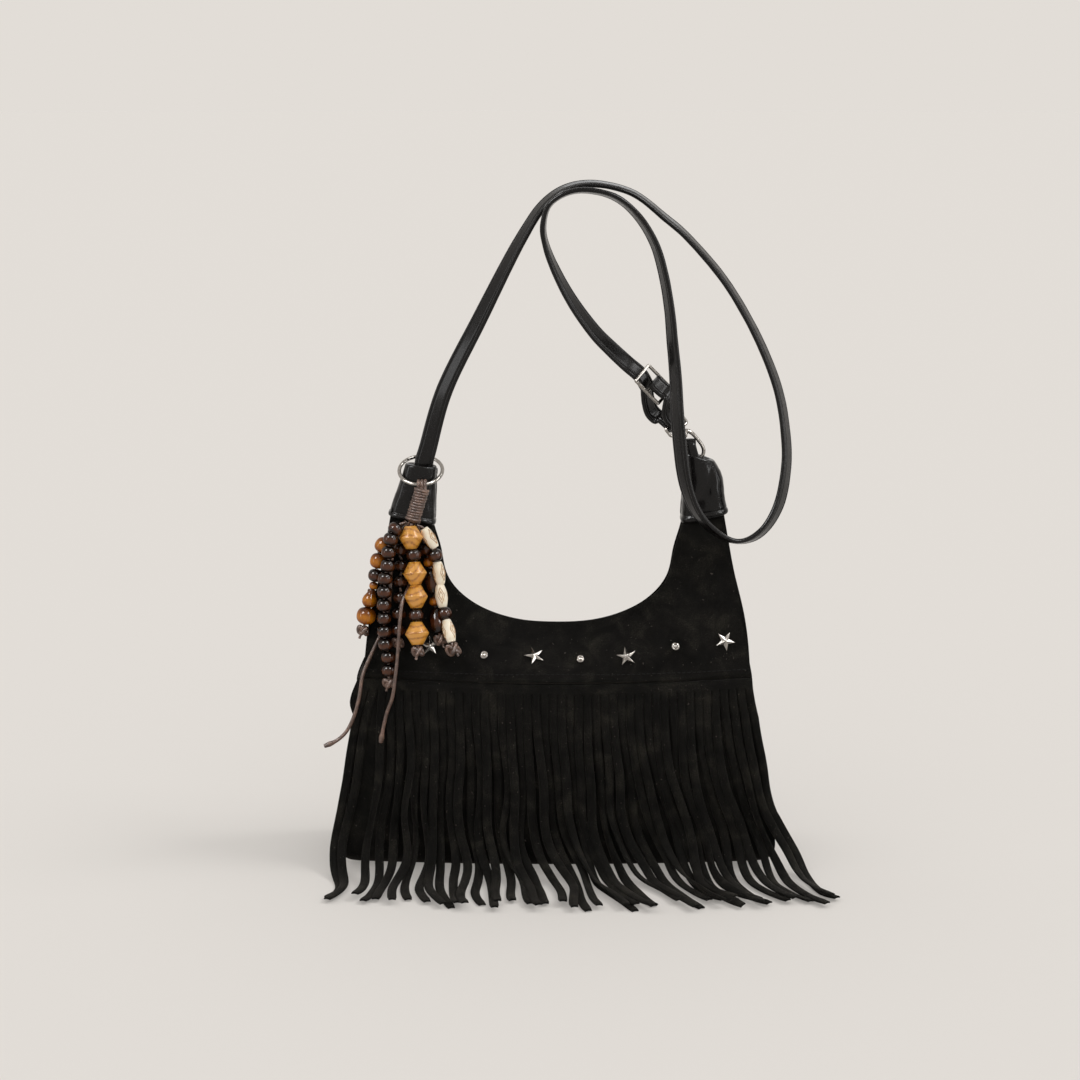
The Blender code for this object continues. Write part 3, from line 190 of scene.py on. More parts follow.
def frame_at(origin, along, across):
    """A matrix at origin whose Z is along and whose X is as near across as it can be."""
    z = along.normalized()
    x = (across - across.dot(z) * z).normalized()
    matrix = Matrix((x, z.cross(x), z)).transposed().to_4x4()
    matrix.translation = origin
    return matrix


def wrap_foot(across, out):
    """A point just under the whipping's lower end, in millimetres from its middle."""
    place = frame_at(WRAP_BOTTOM, WRAP_TOP - WRAP_BOTTOM, RIGHT)
    return place @ Vector((across * MM, out * MM, -0.0011))


def linear(code):
    """An sRGB hex colour as the linear values that Blender's sockets take."""
    values = []
    for start in (1, 3, 5):
        share = int(code[start:start + 2], 16) / 255
        values.append(share / 12.92 if share <= 0.04045 else ((share + 0.055) / 1.055) ** 2.4)
    return (*values, 1.0)


def add_node(tree, kind, inputs=None, stops=(), **settings):
    """Add a node. An input is linked where a socket is given, else set; stops are a ramp's colours."""
    node = tree.nodes.new(kind)
    for name, value in settings.items():
        setattr(node, name, value)
    for name, value in (inputs or {}).items():
        if isinstance(value, bpy.types.NodeSocket):
            tree.links.new(value, node.inputs[name])
        else:
            node.inputs[name].default_value = value
    if stops:
        elements = node.color_ramp.elements
        for _ in stops[2:]:
            elements.new(0.5)
        for element, (position, code) in zip(elements, stops):
            element.position = position
            element.color = linear(code)
    return node


def start_material(name, **settings):
    """A Principled material with its plain socket values set, and the coordinates its patterns use."""
    material = bpy.data.materials.new(name)
    material.use_nodes = True
    tree = material.node_tree
    shader = tree.nodes["Principled BSDF"]
    for socket, value in settings.items():
        shader.inputs[socket.replace("_", " ")].default_value = value
    place = add_node(tree, "ShaderNodeTexCoord").outputs["Object"]
    return material, tree, shader, place


def finish_material(tree, shader, tone, stops, relief=(), gloss=()):
    """Link a material's patterns to its shader: its colours follow the tone through the stops, or
    are the tone where there are none. Relief is a height pattern, its strength and its depth in
    metres, and gloss is a pattern with the limits that the roughness keeps between."""
    if stops:
        tone = add_node(tree, "ShaderNodeValToRGB", {"Fac": tone}, stops).outputs["Color"]
    tree.links.new(tone, shader.inputs["Base Color"])
    if relief:
        height, strength, depth = relief
        bump = add_node(tree, "ShaderNodeBump", {"Height": height, "Strength": strength,
                                                 "Distance": depth})
        tree.links.new(bump.outputs["Normal"], shader.inputs["Normal"])
    if gloss:
        pattern, limits = gloss
        rough = add_node(tree, "ShaderNodeMapRange", {"Value": pattern, **limits})
        tree.links.new(rough.outputs["Result"], shader.inputs["Roughness"])


# Waxed cotton cord: dark reddish brown, 0.4 mm fibres under wax, so it is matt with small glints.
waxed_cord, tree, shader, place = start_material("waxed_cotton_cord", Specular_IOR_Level=0.8)
fibre = add_node(tree, "ShaderNodeTexNoise", {"Vector": place, "Scale": 2600.0, "Detail": 3.0})
stain_and_painted_glow = add_node(tree, "ShaderNodeTexNoise", {"Vector": place, "Scale": 240.0, "Detail": 2.0})
mixed = add_node(tree, "ShaderNodeMath", {0: fibre.outputs["Fac"], 1: stain_and_painted_glow.outputs["Fac"]},
                 operation="MULTIPLY")
finish_material(tree, shader, mixed.outputs[0],
                ((0.10, "#2C1D16"), (0.25, "#573F33"), (0.45, "#8A6B5A")),
                relief=(fibre.outputs["Fac"], 0.6, 0.0002),
                gloss=(stain_and_painted_glow.outputs["Fac"], {"To Min": 0.26, "To Max": 0.48}))


def settle(piece, material, body, slot, *nodes):
    """Give a piece its material and its body, and hide the nodes it stands for. The slot is not used."""
    piece.data.materials.append(material)
    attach(piece, body)
    if nodes:
        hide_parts(*nodes)
    return piece


def cord_curve(name, points, radius, sizes=None):
    """A round cord as one open curve."""
    curve = bpy.data.curves.new(name, "CURVE")
    curve.dimensions = "3D"
    curve.bevel_depth = radius
    curve.bevel_resolution = 4
    curve.use_fill_caps = True
    spline = curve.splines.new("POLY")
    spline.points.add(len(points) - 1)
    for i, point in enumerate(points):
        spline.points[i].co = (*point, 1.0)
        spline.points[i].radius = sizes[i] if sizes else 1.0
    return add_object(name, curve)


def tail_path(route, foot):
    """A tail, from the whipping down its route over the body."""
    points = [wrap_foot(*foot)]
    for dx, dz, off in route:
        x = WRAP_BOTTOM.x + dx * MM
        z = WRAP_BOTTOM.z + dz * MM
        points.append(Vector((x, -skin_depth(max(-side_x(z), x), z) - off * MM, z)))
    return smooth_path(points, TAIL_STATIONS)


for name, route, foot in (("tail_one", TAIL_ONE, (1.2, 0.6)), ("tail_two", TAIL_TWO, (-1.2, -1.1))):
    path = tail_path(route, foot)
    knotted = [1.0 + 0.5 * hump(k, TAIL_KNOT_STATION, 1.4) for k in range(TAIL_STATIONS)]
    tail = settle(cord_curve(name + "_cord", path, TAIL_RADIUS, knotted), waxed_cord, "charm", "cord",
                  name)


# Floor and light: a plain pale floor that runs out of sight in an even pale surround, one broad
# sun high on the right, and softboxes that only polished and glossy surfaces reflect.
BACKDROP = "#E2DDD7"
SURROUND = "#E9E9E9"
FLOOR_GLOW = 0.30
FLOOR_RADIUS = 30.0
SUN_STRENGTH = 0.80
SUN_SOFTNESS = math.radians(22)
SUN_RUN = Vector((-0.66, 0.05, -0.75))


def seen_directly(tree):
    """1 for what the camera, a reflection or a clear material sees, 0 for light on surfaces."""
    path = add_node(tree, "ShaderNodeLightPath")
    glossy = add_node(tree, "ShaderNodeMath", {0: path.outputs["Is Camera Ray"],
                                               1: path.outputs["Is Glossy Ray"]},
                      operation="MAXIMUM")
    clear = add_node(tree, "ShaderNodeMath", {0: glossy.outputs[0],
                                              1: path.outputs["Is Transmission Ray"]},
                     operation="MAXIMUM")
    return clear.outputs[0]


world = bpy.data.worlds.new("pale_surround")
world.use_nodes = True
bpy.context.scene.world = world
tree = world.node_tree
backdrop = add_node(tree, "ShaderNodeMix", {0: seen_directly(tree), 6: linear(SURROUND),
                                            7: linear(BACKDROP)}, data_type="RGBA")
tree.links.new(backdrop.outputs[2], tree.nodes["Background"].inputs["Color"])
direction = add_node(tree, "ShaderNodeTexCoord").outputs["Generated"]
reflected = add_node(tree, "ShaderNodeLightPath").outputs["Is Glossy Ray"]
surround = tree.nodes["Background"].outputs["Background"]

# Softboxes as the reflections show them: where each stands, how far it spreads and its strength.
for towards, spread, strength in (((-0.547, -0.500, 0.665), (0.22, 0.22, 0.22), 22.0),
                                  ((0.462, -0.563, 0.684), (0.19, 0.19, 0.19), 22.0),
                                  ((0.74, -0.64, 0.08), (0.07, 0.07, 0.42), 8.0),
                                  ((0.93, -0.24, 0.28), (0.14, 0.14, 0.42), 6.0),
                                  ((-0.90, -0.36, 0.24), (0.12, 0.12, 0.36), 5.0),
                                  ((0.10, 0.92, 0.38), (0.40, 0.16, 0.16), 2.0)):
    apart = add_node(tree, "ShaderNodeVectorMath", {0: direction, 1: towards}, operation="SUBTRACT")
    scaled = add_node(tree, "ShaderNodeVectorMath", {0: apart.outputs[0], 1: spread},
                      operation="DIVIDE")
    reach = add_node(tree, "ShaderNodeVectorMath", {0: scaled.outputs[0]}, operation="LENGTH")
    inside = add_node(tree, "ShaderNodeMapRange", {"Value": reach.outputs["Value"], "From Min": 0.85,
                                                   "From Max": 1.1, "To Min": 1.0, "To Max": 0.0})
    shown = add_node(tree, "ShaderNodeMath", {0: inside.outputs["Result"], 1: reflected},
                     operation="MULTIPLY")
    softbox = add_node(tree, "ShaderNodeBackground", {"Strength": strength})
    joined = add_node(tree, "ShaderNodeMixShader", {0: shown.outputs[0], 1: surround,
                                                    2: softbox.outputs[0]})
    surround = joined.outputs[0]
tree.links.new(surround, tree.nodes["World Output"].inputs["Surface"])

bm = bmesh.new()
bmesh.ops.create_circle(bm, cap_ends=True, segments=96, radius=FLOOR_RADIUS)
mesh = bpy.data.meshes.new("floor")
bm.to_mesh(mesh)
bm.free()
floor = add_object("floor", mesh)
floor.location.z = -0.0002
painted_floor = bpy.data.materials.new("painted_board")
painted_floor.use_nodes = True
tree = painted_floor.node_tree
tree.nodes.remove(tree.nodes["Principled BSDF"])
matt = add_node(tree, "ShaderNodeBsdfDiffuse", {"Color": linear(BACKDROP)})
plain = add_node(tree, "ShaderNodeEmission", {"Color": linear(BACKDROP), "Strength": 1.0})
share = add_node(tree, "ShaderNodeMath", {0: seen_directly(tree), 1: FLOOR_GLOW},
                 operation="MULTIPLY")
blend = add_node(tree, "ShaderNodeMixShader", {0: share.outputs[0], 1: matt.outputs[0],
                                               2: plain.outputs[0]})
tree.links.new(blend.outputs[0], tree.nodes["Material Output"].inputs["Surface"])
floor.data.materials.append(painted_floor)

sun_data = bpy.data.lights.new("key", "SUN")
sun_data.energy = SUN_STRENGTH
sun_data.angle = SUN_SOFTNESS
sun = add_object("key", sun_data)
sun.rotation_euler = SUN_RUN.to_track_quat("-Z", "Y").to_euler()


# Suede of the body: black split hide, brushed so that its 0.5 mm nap lies in patches, with no
# gloss and a few pale specks of lint. The patches are about 15 mm across.
suede, tree, shader, place = start_material(
    "brushed_split_suede", Roughness=0.95, Specular_IOR_Level=0.10, Sheen_Weight=0.15,
    Sheen_Roughness=0.45, Sheen_Tint=linear("#8C857C"))
patch = add_node(tree, "ShaderNodeTexNoise", {"Vector": place, "Scale": 70.0, "Detail": 3.0,
                                              "Distortion": 0.6})
nap = add_node(tree, "ShaderNodeTexNoise", {"Vector": place, "Scale": 1900.0, "Detail": 4.0,
                                            "Roughness": 0.7})
lint = add_node(tree, "ShaderNodeTexNoise", {"Vector": place, "Scale": 620.0, "Detail": 1.0})
tone = add_node(tree, "ShaderNodeMath", {0: patch.outputs["Fac"], 1: nap.outputs["Fac"]},
                operation="MULTIPLY")
cloth = add_node(tree, "ShaderNodeValToRGB", {"Fac": tone.outputs[0]},
                 ((0.14, "#050504"), (0.28, "#11100E"), (0.40, "#26241F")))
fleck = add_node(tree, "ShaderNodeMapRange", {"Value": lint.outputs["Fac"], "From Min": 0.74,
                                              "From Max": 0.77, "To Max": 0.5})
flecked = add_node(tree, "ShaderNodeMix", {"Factor": fleck.outputs["Result"],
                                           6: cloth.outputs["Color"], 7: linear("#57504A")},
                   data_type="RGBA")
finish_material(tree, shader, flecked.outputs[2], (), relief=(nap.outputs["Fac"], 0.7, 0.0004))


def mesh_piece(name, bm, sharp=40.0):
    """Turn a bmesh into a smooth-shaded object with its faces pointing out."""
    bmesh.ops.recalc_face_normals(bm, faces=bm.faces[:])
    if bm.calc_volume(signed=True) < 0:
        bmesh.ops.reverse_faces(bm, faces=bm.faces[:])
    mesh = bpy.data.meshes.new(name)
    bm.to_mesh(mesh)
    bm.free()
    mesh.shade_smooth()
    mesh.set_sharp_from_angle(angle=math.radians(sharp))
    return add_object(name, mesh)


def circle(count):
    """Cosine and sine of evenly spaced angles round a circle."""
    angles = [2 * math.pi * k / count for k in range(count)]
    return [(math.cos(angle), math.sin(angle)) for angle in angles]


def add_loft(bm, rings, closed=False):
    """Add a skin through rings of equal length, capped at its ends or closed into a loop."""
    loops = [[bm.verts.new(point) for point in ring] for ring in rings]
    pairs = list(zip(loops, loops[1:]))
    if closed:
        pairs.append((loops[-1], loops[0]))
    count = len(loops[0])
    for lower, upper in pairs:
        for i in range(count):
            j = (i + 1) % count
            bm.faces.new((lower[i], lower[j], upper[j], upper[i]))
    if not closed:
        bm.faces.new(loops[0])
        bm.faces.new(loops[-1])


def lofted(name, rings, closed=False, sharp=40.0):
    """A piece that is one loft."""
    bm = bmesh.new()
    add_loft(bm, rings, closed)
    return mesh_piece(name, bm, sharp)


def sheet_rings(columns, rows, outer, inner):
    """Rings round a thick sheet: out along its outer face and back along its inner face."""
    rings = []
    for j in range(rows + 1):
        v = j / rows
        front = [outer(-1 + 2 * i / columns, v) for i in range(columns + 1)]
        back = [inner(-1 + 2 * i / columns, v) for i in range(columns, -1, -1)]
        rings.append(front + back)
    return rings


# Body panels: two yokes with the U-shaped mouth and two lower panels, all of suede 1.6 mm thick.
# The yokes' mouth edges are turned in, and their lower edges are turned under over the fringe.
SUEDE = 0.0016
GAP = 0.0003
FRINGE_THICKNESS = 0.0012
SLUMP = 0.0011
SIDE_BULGE = 0.0066
SIDE_BULGE_Z = 0.108
SEAM_SAG = 0.0022
LOWER_ROUND = 0.014
LOWER_SHARE = 0.2
MOUTH_ROLL = 0.0022
BACK_MOUTH_DROP = MOUTH_DROP + 0.004
MOUTH_POWER = 0.86


def seam_z(share):
    """Height of the seam, which sags a little between the sides."""
    return SEAM_Z - SEAM_SAG * (1.0 - share * share)


def turn_in(z, inset):
    """How far a skin lying inset behind the face is turned in at the rounded lower edge."""
    rise = max(0.0, LOWER_ROUND - z)
    return LOWER_ROUND - math.sqrt(max(0.0, (LOWER_ROUND - inset) ** 2 - rise ** 2))


def soft_side(z, side):
    """Half-width at the edge, with the soft bulge of the left side under the seam."""
    fade = 0.016 if z > SIDE_BULGE_Z else 0.011
    bulge = SIDE_BULGE * hump(z, SIDE_BULGE_Z, fade) if side < 0 else 0.0
    return side_x(z) + bulge


def slump(x, z, side):
    """How far the soft skin stands out or in from its even form."""
    wide = noise.noise(Vector((x * 22, side * 3.0, z * 30)))
    drag = noise.noise(Vector((x * 60 + z * 25, side * 7.0, z * 16)))
    edge = clamp((side_x(max(z, 0.0)) - abs(x)) / 0.012)
    low = clamp(z / 0.02)
    return SLUMP * (1.1 * wide + 0.6 * drag) * edge * low


def top_edge(share, drop):
    """A point (x, z) on the top edge: along one horn, down the U and along the other horn."""
    side = -1.0 if share < 0 else 1.0
    away = abs(share)
    if away >= 0.80:
        t = (away - 0.80) / 0.20
        return side * (HORN_INNER_X + (side_x(HORN_TOP_Z) - HORN_INNER_X) * t), HORN_TOP_Z
    angle = math.pi / 2 * away / 0.75 if away < 0.75 else math.pi / 2
    x = HORN_INNER_X * math.sin(angle) ** MOUTH_POWER
    rise = 1.0 - max(math.cos(angle), 0.0) ** MOUTH_POWER
    x *= 1.0 - 0.06 * hump(rise, 0.72, 0.25)
    return side * x, MOUTH_CENTRE_Z - drop * (1.0 - rise)


def build_suede(name, node, columns, rows, skin_at):
    """A suede piece from its skin at a share across, a share up and an inset from its face."""
    rings = sheet_rings(columns, rows, lambda u, v: skin_at(u, v, 0.0),
                        lambda u, v: skin_at(u, v, SUEDE))
    settle(lofted(name, rings), suede, "bag", "suede", node)


def lap_out(rise, side):
    """How far a yoke stands out at a rise over the seam: the front one laps over the fringe."""
    lap = FRINGE_THICKNESS + GAP if side < 0 else 0.0
    return lap * (clamp(1 - rise / 0.010) ** 1.5 + 0.4 * hump(rise, 0.0026, 0.0022))


def build_yoke(name, node, side, drop):
    """A yoke, whose mouth edge and lower edge are rolled over."""
    def where(u, v):
        v = 1 - (1 - v) ** 1.7
        top_x, top_z = top_edge(u, drop)
        low = seam_z(u)
        return u * side_x(SEAM_Z) * (1 - v) + top_x * v, low + (top_z - low) * v

    def round_edge(z, top_z):
        """How far the skin falls back where the mouth's edge rolls over."""
        near = clamp(1 - (top_z - z) / MOUTH_ROLL)
        return 0.5 * SUEDE * (1 - math.sqrt(max(0.0, 1 - near ** 2)))

    def outer(u, v):
        x, z = where(u, v)
        roll = round_edge(z, top_edge(u, drop)[1])
        rise = z - seam_z(u)
        foot = clamp(1 - rise / 0.0024)
        out = lap_out(rise, side) - roll
        out -= (0.0022 if side < 0 else 0.0008) * (1 - math.sqrt(1 - foot ** 2))
        out += slump(x, z, side) * clamp(rise / 0.012)
        return Vector((x, side * (skin_depth(x, z) + out), z))

    def inner(u, v):
        x, z = where(u, v)
        roll = round_edge(z, top_edge(u, drop)[1])
        out = slump(x, z, side) * clamp((z - seam_z(u)) / 0.012) - SUEDE + roll
        return Vector((x, side * (skin_depth(x, z) + out), z))

    settle(lofted(name, sheet_rings(120, 56, outer, inner)), suede, "bag", "suede", node)


def build_lower(name, node, side):
    """A lower panel, from its rounded lower edge up to the seam."""
    def skin_at(u, v, inset):
        """A point of the panel: first round its lower edge, then up to the seam."""
        part = v / LOWER_SHARE
        if part < 1.0:
            angle = math.pi / 2 * (1 - part)
            z = LOWER_ROUND - (LOWER_ROUND - inset) * math.sin(angle)
            back = LOWER_ROUND - (LOWER_ROUND - inset) * math.cos(angle)
        else:
            rise = (v - LOWER_SHARE) / (1 - LOWER_SHARE)
            z = LOWER_ROUND + (seam_z(u) - GAP - LOWER_ROUND) * rise
            back = inset
        x = u * soft_side(z, u)
        edge = 0.0007 * clamp(1 - (1 - abs(u)) * side_x(z) / 0.0016) ** 2
        back += edge if inset == 0.0 else 0.0
        out = slump(x, z, side) * clamp((SEAM_Z - z) / 0.012) - back
        return Vector((x, side * (skin_depth(min(abs(x), side_x(z)), z) + out), z))

    build_suede(name, node, 72, 54, skin_at)


build_yoke("front_yoke_suede", "front_yoke", -1, MOUTH_DROP)
build_yoke("back_yoke_suede", "back_yoke", 1, BACK_MOUTH_DROP)
build_lower("front_panel_suede", "front_panel", -1)
build_lower("back_panel_suede", "back_panel", 1)


# Gussets and base: suede strips that join front and back, sewn at their edges, which turn
# inwards. The gussets fold in softly along their middles, and the base lies flat on the floor.
def gusset_half(x, z):
    """Half-width of a gusset, which fits between the front and back panels."""
    inner = max(abs(x) - SUEDE, 0.0)
    return min(skin_depth(x, z), skin_depth(inner, z)) - SUEDE - GAP


def build_gusset(name, node, side):
    """A gusset, folded in along its middle."""
    low = CORNER_RADIUS + GAP

    def skin_at(u, v, inward):
        z = low + (HORN_TOP_Z - low) * v
        x = soft_side(z, side)
        half = gusset_half(side_x(z), z)
        tuck = 0.0035 * (1 - u * u) * math.sin(math.pi * clamp(v * 1.1)) ** 1.5
        wave = 0.0007 * noise.noise(Vector((u * 2, side * 5.0, z * 45)))
        round_in = 0.0009 * abs(u) ** 12
        return Vector((side * (x - inward - tuck - wave * (1 - u * u) - round_in), u * half, z))

    build_suede(name, node, 20, 90, skin_at)


def build_base():
    """The base, which turns up at both ends to meet the gussets."""
    rounds = 10
    left = []
    for k in range(rounds + 1):
        angle = math.pi / 2 * (1 - k / rounds)
        z = CORNER_RADIUS * (1 - math.cos(angle))
        left.append((-side_x(z), z, math.sin(angle), math.cos(angle)))
    edge = side_x(0.0)
    middle = [(-edge + 2 * edge * k / 24, 0.0, 0.0, 1.0) for k in range(1, 24)]
    right = [(-x, z, -nx, nz) for x, z, nx, nz in reversed(left)]
    stations = left + middle + right

    def skin_at(u, v, inward):
        x, z, nx, nz = stations[round(v * (len(stations) - 1))]
        half = skin_depth(x, z) - turn_in(z, SUEDE) - GAP
        return Vector((x + nx * inward, u * half, z + nz * inward))

    build_suede("base_suede", "base_panel", 16, len(stations) - 1, skin_at)


build_gusset("gusset_left_suede", "gusset_left", -1)
build_gusset("gusset_right_suede", "gusset_right", 1)
build_base()


# Lining: black woven cotton, 0.4 mm threads, a bag of its own inside the suede, open at the
# mouth, where its edge is sewn under the turned suede.
LINING_GAP = 0.0022
LINING = 0.0008
lining_cloth, tree, shader, place = start_material("woven_cotton_lining", Roughness=0.85,
                                                   Specular_IOR_Level=0.2)
warp = add_node(tree, "ShaderNodeTexWave", {"Vector": place, "Scale": 400.0, "Distortion": 1.0},
                bands_direction="X")
weft = add_node(tree, "ShaderNodeTexWave", {"Vector": place, "Scale": 400.0, "Distortion": 1.0},
                bands_direction="Z")
weave = add_node(tree, "ShaderNodeMath", {0: warp.outputs["Fac"], 1: weft.outputs["Fac"]},
                 operation="MULTIPLY")
finish_material(tree, shader, weave.outputs[0], ((0.0, "#0B0A0A"), (1.0, "#262222")),
                relief=(weave.outputs[0], 0.4, 0.0002))


def build_lining():
    """The lining's two faces, in levels from its floor to the seam and on to the mouth."""
    columns = 44
    above = 14
    inset_all = SUEDE + LINING_GAP
    levels = [LOWER_ROUND - (LOWER_ROUND - inset_all) * math.cos(math.pi / 2 * k / 6) for k in range(6)]
    levels += [LOWER_ROUND + (SEAM_Z - LOWER_ROUND) * (k / 12) for k in range(12)]

    def ring(level, thick):
        inset = inset_all + thick
        front = []
        for k in range(columns + 1):
            u = -1.0 + 2.0 * k / columns
            if level < len(levels):
                z = levels[level] + (thick if level == 0 else 0.0)
                x = u * (side_x(max(0.0, z - inset)) - inset)
            else:
                t = (level - len(levels)) / above
                top_x, top_z = top_edge(u, BACK_MOUTH_DROP)
                top_z -= 0.003
                top_x -= math.copysign(inset, u) * clamp(abs(u) * 5 - 4) if u else 0.0
                seam_x = u * (side_x(SEAM_Z) - inset)
                x = seam_x + (top_x - seam_x) * t
                z = SEAM_Z + (top_z - SEAM_Z) * t
            crease = 0.0008 * noise.noise(Vector((x * 40, 2.0, z * 30)))
            depth = skin_depth(x, z) - turn_in(z, inset) - max(0.0, crease)
            front.append(Vector((x, -depth, z)))
        return front + [Vector((p.x, -p.y, p.z)) for p in reversed(front)]

    last = len(levels) + above
    rings = [ring(level, 0.0) for level in range(last + 1)]
    rings += [ring(level, LINING) for level in range(last, -1, -1)]
    settle(lofted("lining_bag", rings), lining_cloth, "bag", "lining_cloth", "lining")


build_lining()


# Fringe: one strip of the same suede, 1.2 mm thick, sewn in under the yoke and cut into strands
# about 5 mm wide. They hang in soft S-curves, turn and overlap, and their tips lie on the floor.
FRINGE_HEADER = 0.0054
FRINGE_STRANDS = 46
FRINGE_SLIT = 0.0004
FRINGE_LENGTH = 0.164
FRINGE_FLARE_RADIUS = 0.035
FRINGE_SWEEP_LEFT = -0.014
FRINGE_SWEEP_RIGHT = 0.046
STRAND_STATIONS = 40
FLOOR_LIFT = 0.0008


def fringe_lean(share):
    """How far a strand's tip sweeps sideways: left at the left edge, right over the rest."""
    lean = FRINGE_SWEEP_LEFT + (FRINGE_SWEEP_RIGHT - FRINGE_SWEEP_LEFT) * clamp((share + 1) * 0.72)
    if share < -0.92:
        lean = 1.6 * FRINGE_SWEEP_LEFT
    return lean


def fringe_swing(share):
    """How early a strand sweeps sideways: the edge strands at once, the middle ones low down."""
    if share < -0.92:
        return 0.9
    return 2.2 - 0.5 * clamp((share - 0.6) / 0.4)


def fringe_point(share, along, drift, stand):
    """Middle of a strand at a distance below the header, drifting sideways and standing out."""
    start_z = seam_z(share) - FRINGE_HEADER
    hang = start_z - FRINGE_FLARE_RADIUS
    arc = FRINGE_FLARE_RADIUS * math.pi / 2
    part = along / FRINGE_LENGTH
    x = share * side_x(start_z) + fringe_lean(share) * part ** fringe_swing(share) + drift
    x += math.copysign(0.0026, share) * clamp((abs(share) - 0.80) / 0.16) * clamp(part * 8)
    off = GAP + FRINGE_THICKNESS / 2 + stand
    inside = max(-side_x(FRINGE_FLARE_RADIUS), min(side_x(FRINGE_FLARE_RADIUS), x))
    if along <= hang:
        z = start_z - along
        return Vector((x, -skin_depth(x, z) - off, z)), Vector((0.0, -1.0, 0.0))
    edge = -skin_depth(inside, FRINGE_FLARE_RADIUS) - off
    if along <= hang + arc:
        angle = (along - hang) / FRINGE_FLARE_RADIUS
        z = FRINGE_FLARE_RADIUS * (1 - math.sin(angle)) + FLOOR_LIFT
        out = FRINGE_FLARE_RADIUS * (1 - math.cos(angle))
        return Vector((x, edge - out, z)), Vector((0.0, -math.cos(angle), math.sin(angle)))
    rest = along - hang - arc
    return Vector((x, edge - FRINGE_FLARE_RADIUS - rest, FLOOR_LIFT)), UP


STRAND_EDGE = ((-1, -0.1), (-0.93, 0.75), (-0.6, 1.0), (0, 1.0), (0.6, 1.0), (0.93, 0.75),
               (1, -0.1), (0.93, -0.9), (0.6, -1.0), (0, -1.0), (-0.6, -1.0), (-0.93, -0.9))


def strand_section(centre, across, out, half, thick, curl):
    """A thin section with soft edges that curl back towards the bag."""
    return [centre + across * a * half + out * (b * thick / 2 - curl * a * a)
            for a, b in STRAND_EDGE]


def strand_drift(number, bundle, part):
    """Sideways drift of a strand: slow waves that neighbours share, and one of its own."""
    shared = noise.noise(Vector((number * 0.17, 3.1, part * 2.8))) * 0.0105
    own = noise.noise(Vector((number * 0.83, 9.7, part * 3.9))) * 0.0050
    gather = (bundle - number) * 0.0021 * clamp((part - 0.42) / 0.5) ** 1.3
    return (shared + own) * clamp(part * 1.7 - 0.12) + gather


def strand_bundles():
    """For each strand, the middle of the bundle that its tip gathers to."""
    bundles = []
    while len(bundles) < FRINGE_STRANDS:
        size = random.choice((2, 3, 3, 4, 5))
        bundles += [len(bundles) + (size - 1) / 2] * size
    return bundles


def strand_rings(number, bundle, half):
    """One strand, from the header to its tip: its layer, its turn and its lift are its own."""
    share = -1.0 + (number + 0.5) * 2.0 / FRINGE_STRANDS
    hang = SEAM_Z - FRINGE_HEADER - FRINGE_FLARE_RADIUS
    length = FRINGE_LENGTH + random.uniform(-0.006, 0.008)
    layer = (0.0, 0.0017, 0.0034)[number % 3] + random.uniform(0.0, 0.0006)
    turn_to = random.choice((-1, 1)) * random.choice((0.05, 0.12, 0.22, 0.4, 0.95))
    turn_at = random.uniform(0.45, 0.85)
    end_lift = random.uniform(0.0, 0.0022)
    rings = []
    before = None
    for k in range(STRAND_STATIONS + 1):
        part = k / STRAND_STATIONS
        along = length * part
        stand = layer * clamp(part * 4 - 0.25)
        centre, out = fringe_point(share, along, strand_drift(number, bundle, part), stand)
        centre.z = max(centre.z, FLOOR_LIFT) + layer * 0.9 * clamp((part - 0.55) * 4)
        centre.z += end_lift * clamp((part - 0.93) / 0.07)
        if before is None:
            before = centre + UP * 0.004
        run = (centre - before).normalized()
        before = centre
        side = run.cross(out).normalized()
        if side.x < 0:
            side = -side
        out = run.cross(side).normalized()
        if along < hang and out.y > 0 or along >= hang and out.z + abs(out.y) < 0:
            out = -out
        twist = turn_to * hump(part, turn_at, 0.22) * clamp(part * 5 - 0.4)
        turned_side = side * math.cos(twist) + out * math.sin(twist)
        turned_out = out * math.cos(twist) - side * math.sin(twist)
        size = half * (1 + 0.16 * clamp(part * 1.6)) * (1 - 0.22 * clamp((part - 0.975) / 0.025))
        if along < hang * 1.05:
            centre = centre - BACK * abs(turned_side.y) * size * 0.8
        lift = abs(turned_side.z) * size * 0.8 * clamp((part - 0.7) * 5)
        rings.append(strand_section(centre + UP * lift, turned_side, turned_out, size,
                                    FRINGE_THICKNESS, 0.0005 * clamp(part * 6)))
    return rings


def build_fringe():
    """All strands and the header that they hang from, as one piece."""
    random.seed(23)
    bm = bmesh.new()
    width = side_x(SEAM_Z - FRINGE_HEADER)
    half = width / FRINGE_STRANDS - FRINGE_SLIT / 2
    for number, bundle in enumerate(strand_bundles()[:FRINGE_STRANDS]):
        add_loft(bm, strand_rings(number, bundle, half))

    def header(u, v):
        z = seam_z(u) - GAP - (FRINGE_HEADER + 0.0006) * (1 - v)
        x = u * (side_x(z) - 0.0003)
        tucked = 0.0009 * clamp((v - 0.55) / 0.45) ** 2
        return Vector((x, -skin_depth(x, z) - GAP - FRINGE_THICKNESS + tucked, z))

    def header_back(u, v):
        point = header(u, v)
        point.y += FRINGE_THICKNESS
        return point

    add_loft(bm, sheet_rings(120, 6, header, header_back))
    piece = settle(mesh_piece("fringe_strands", bm, 60.0), suede, "bag", "suede", "fringe")


build_fringe()
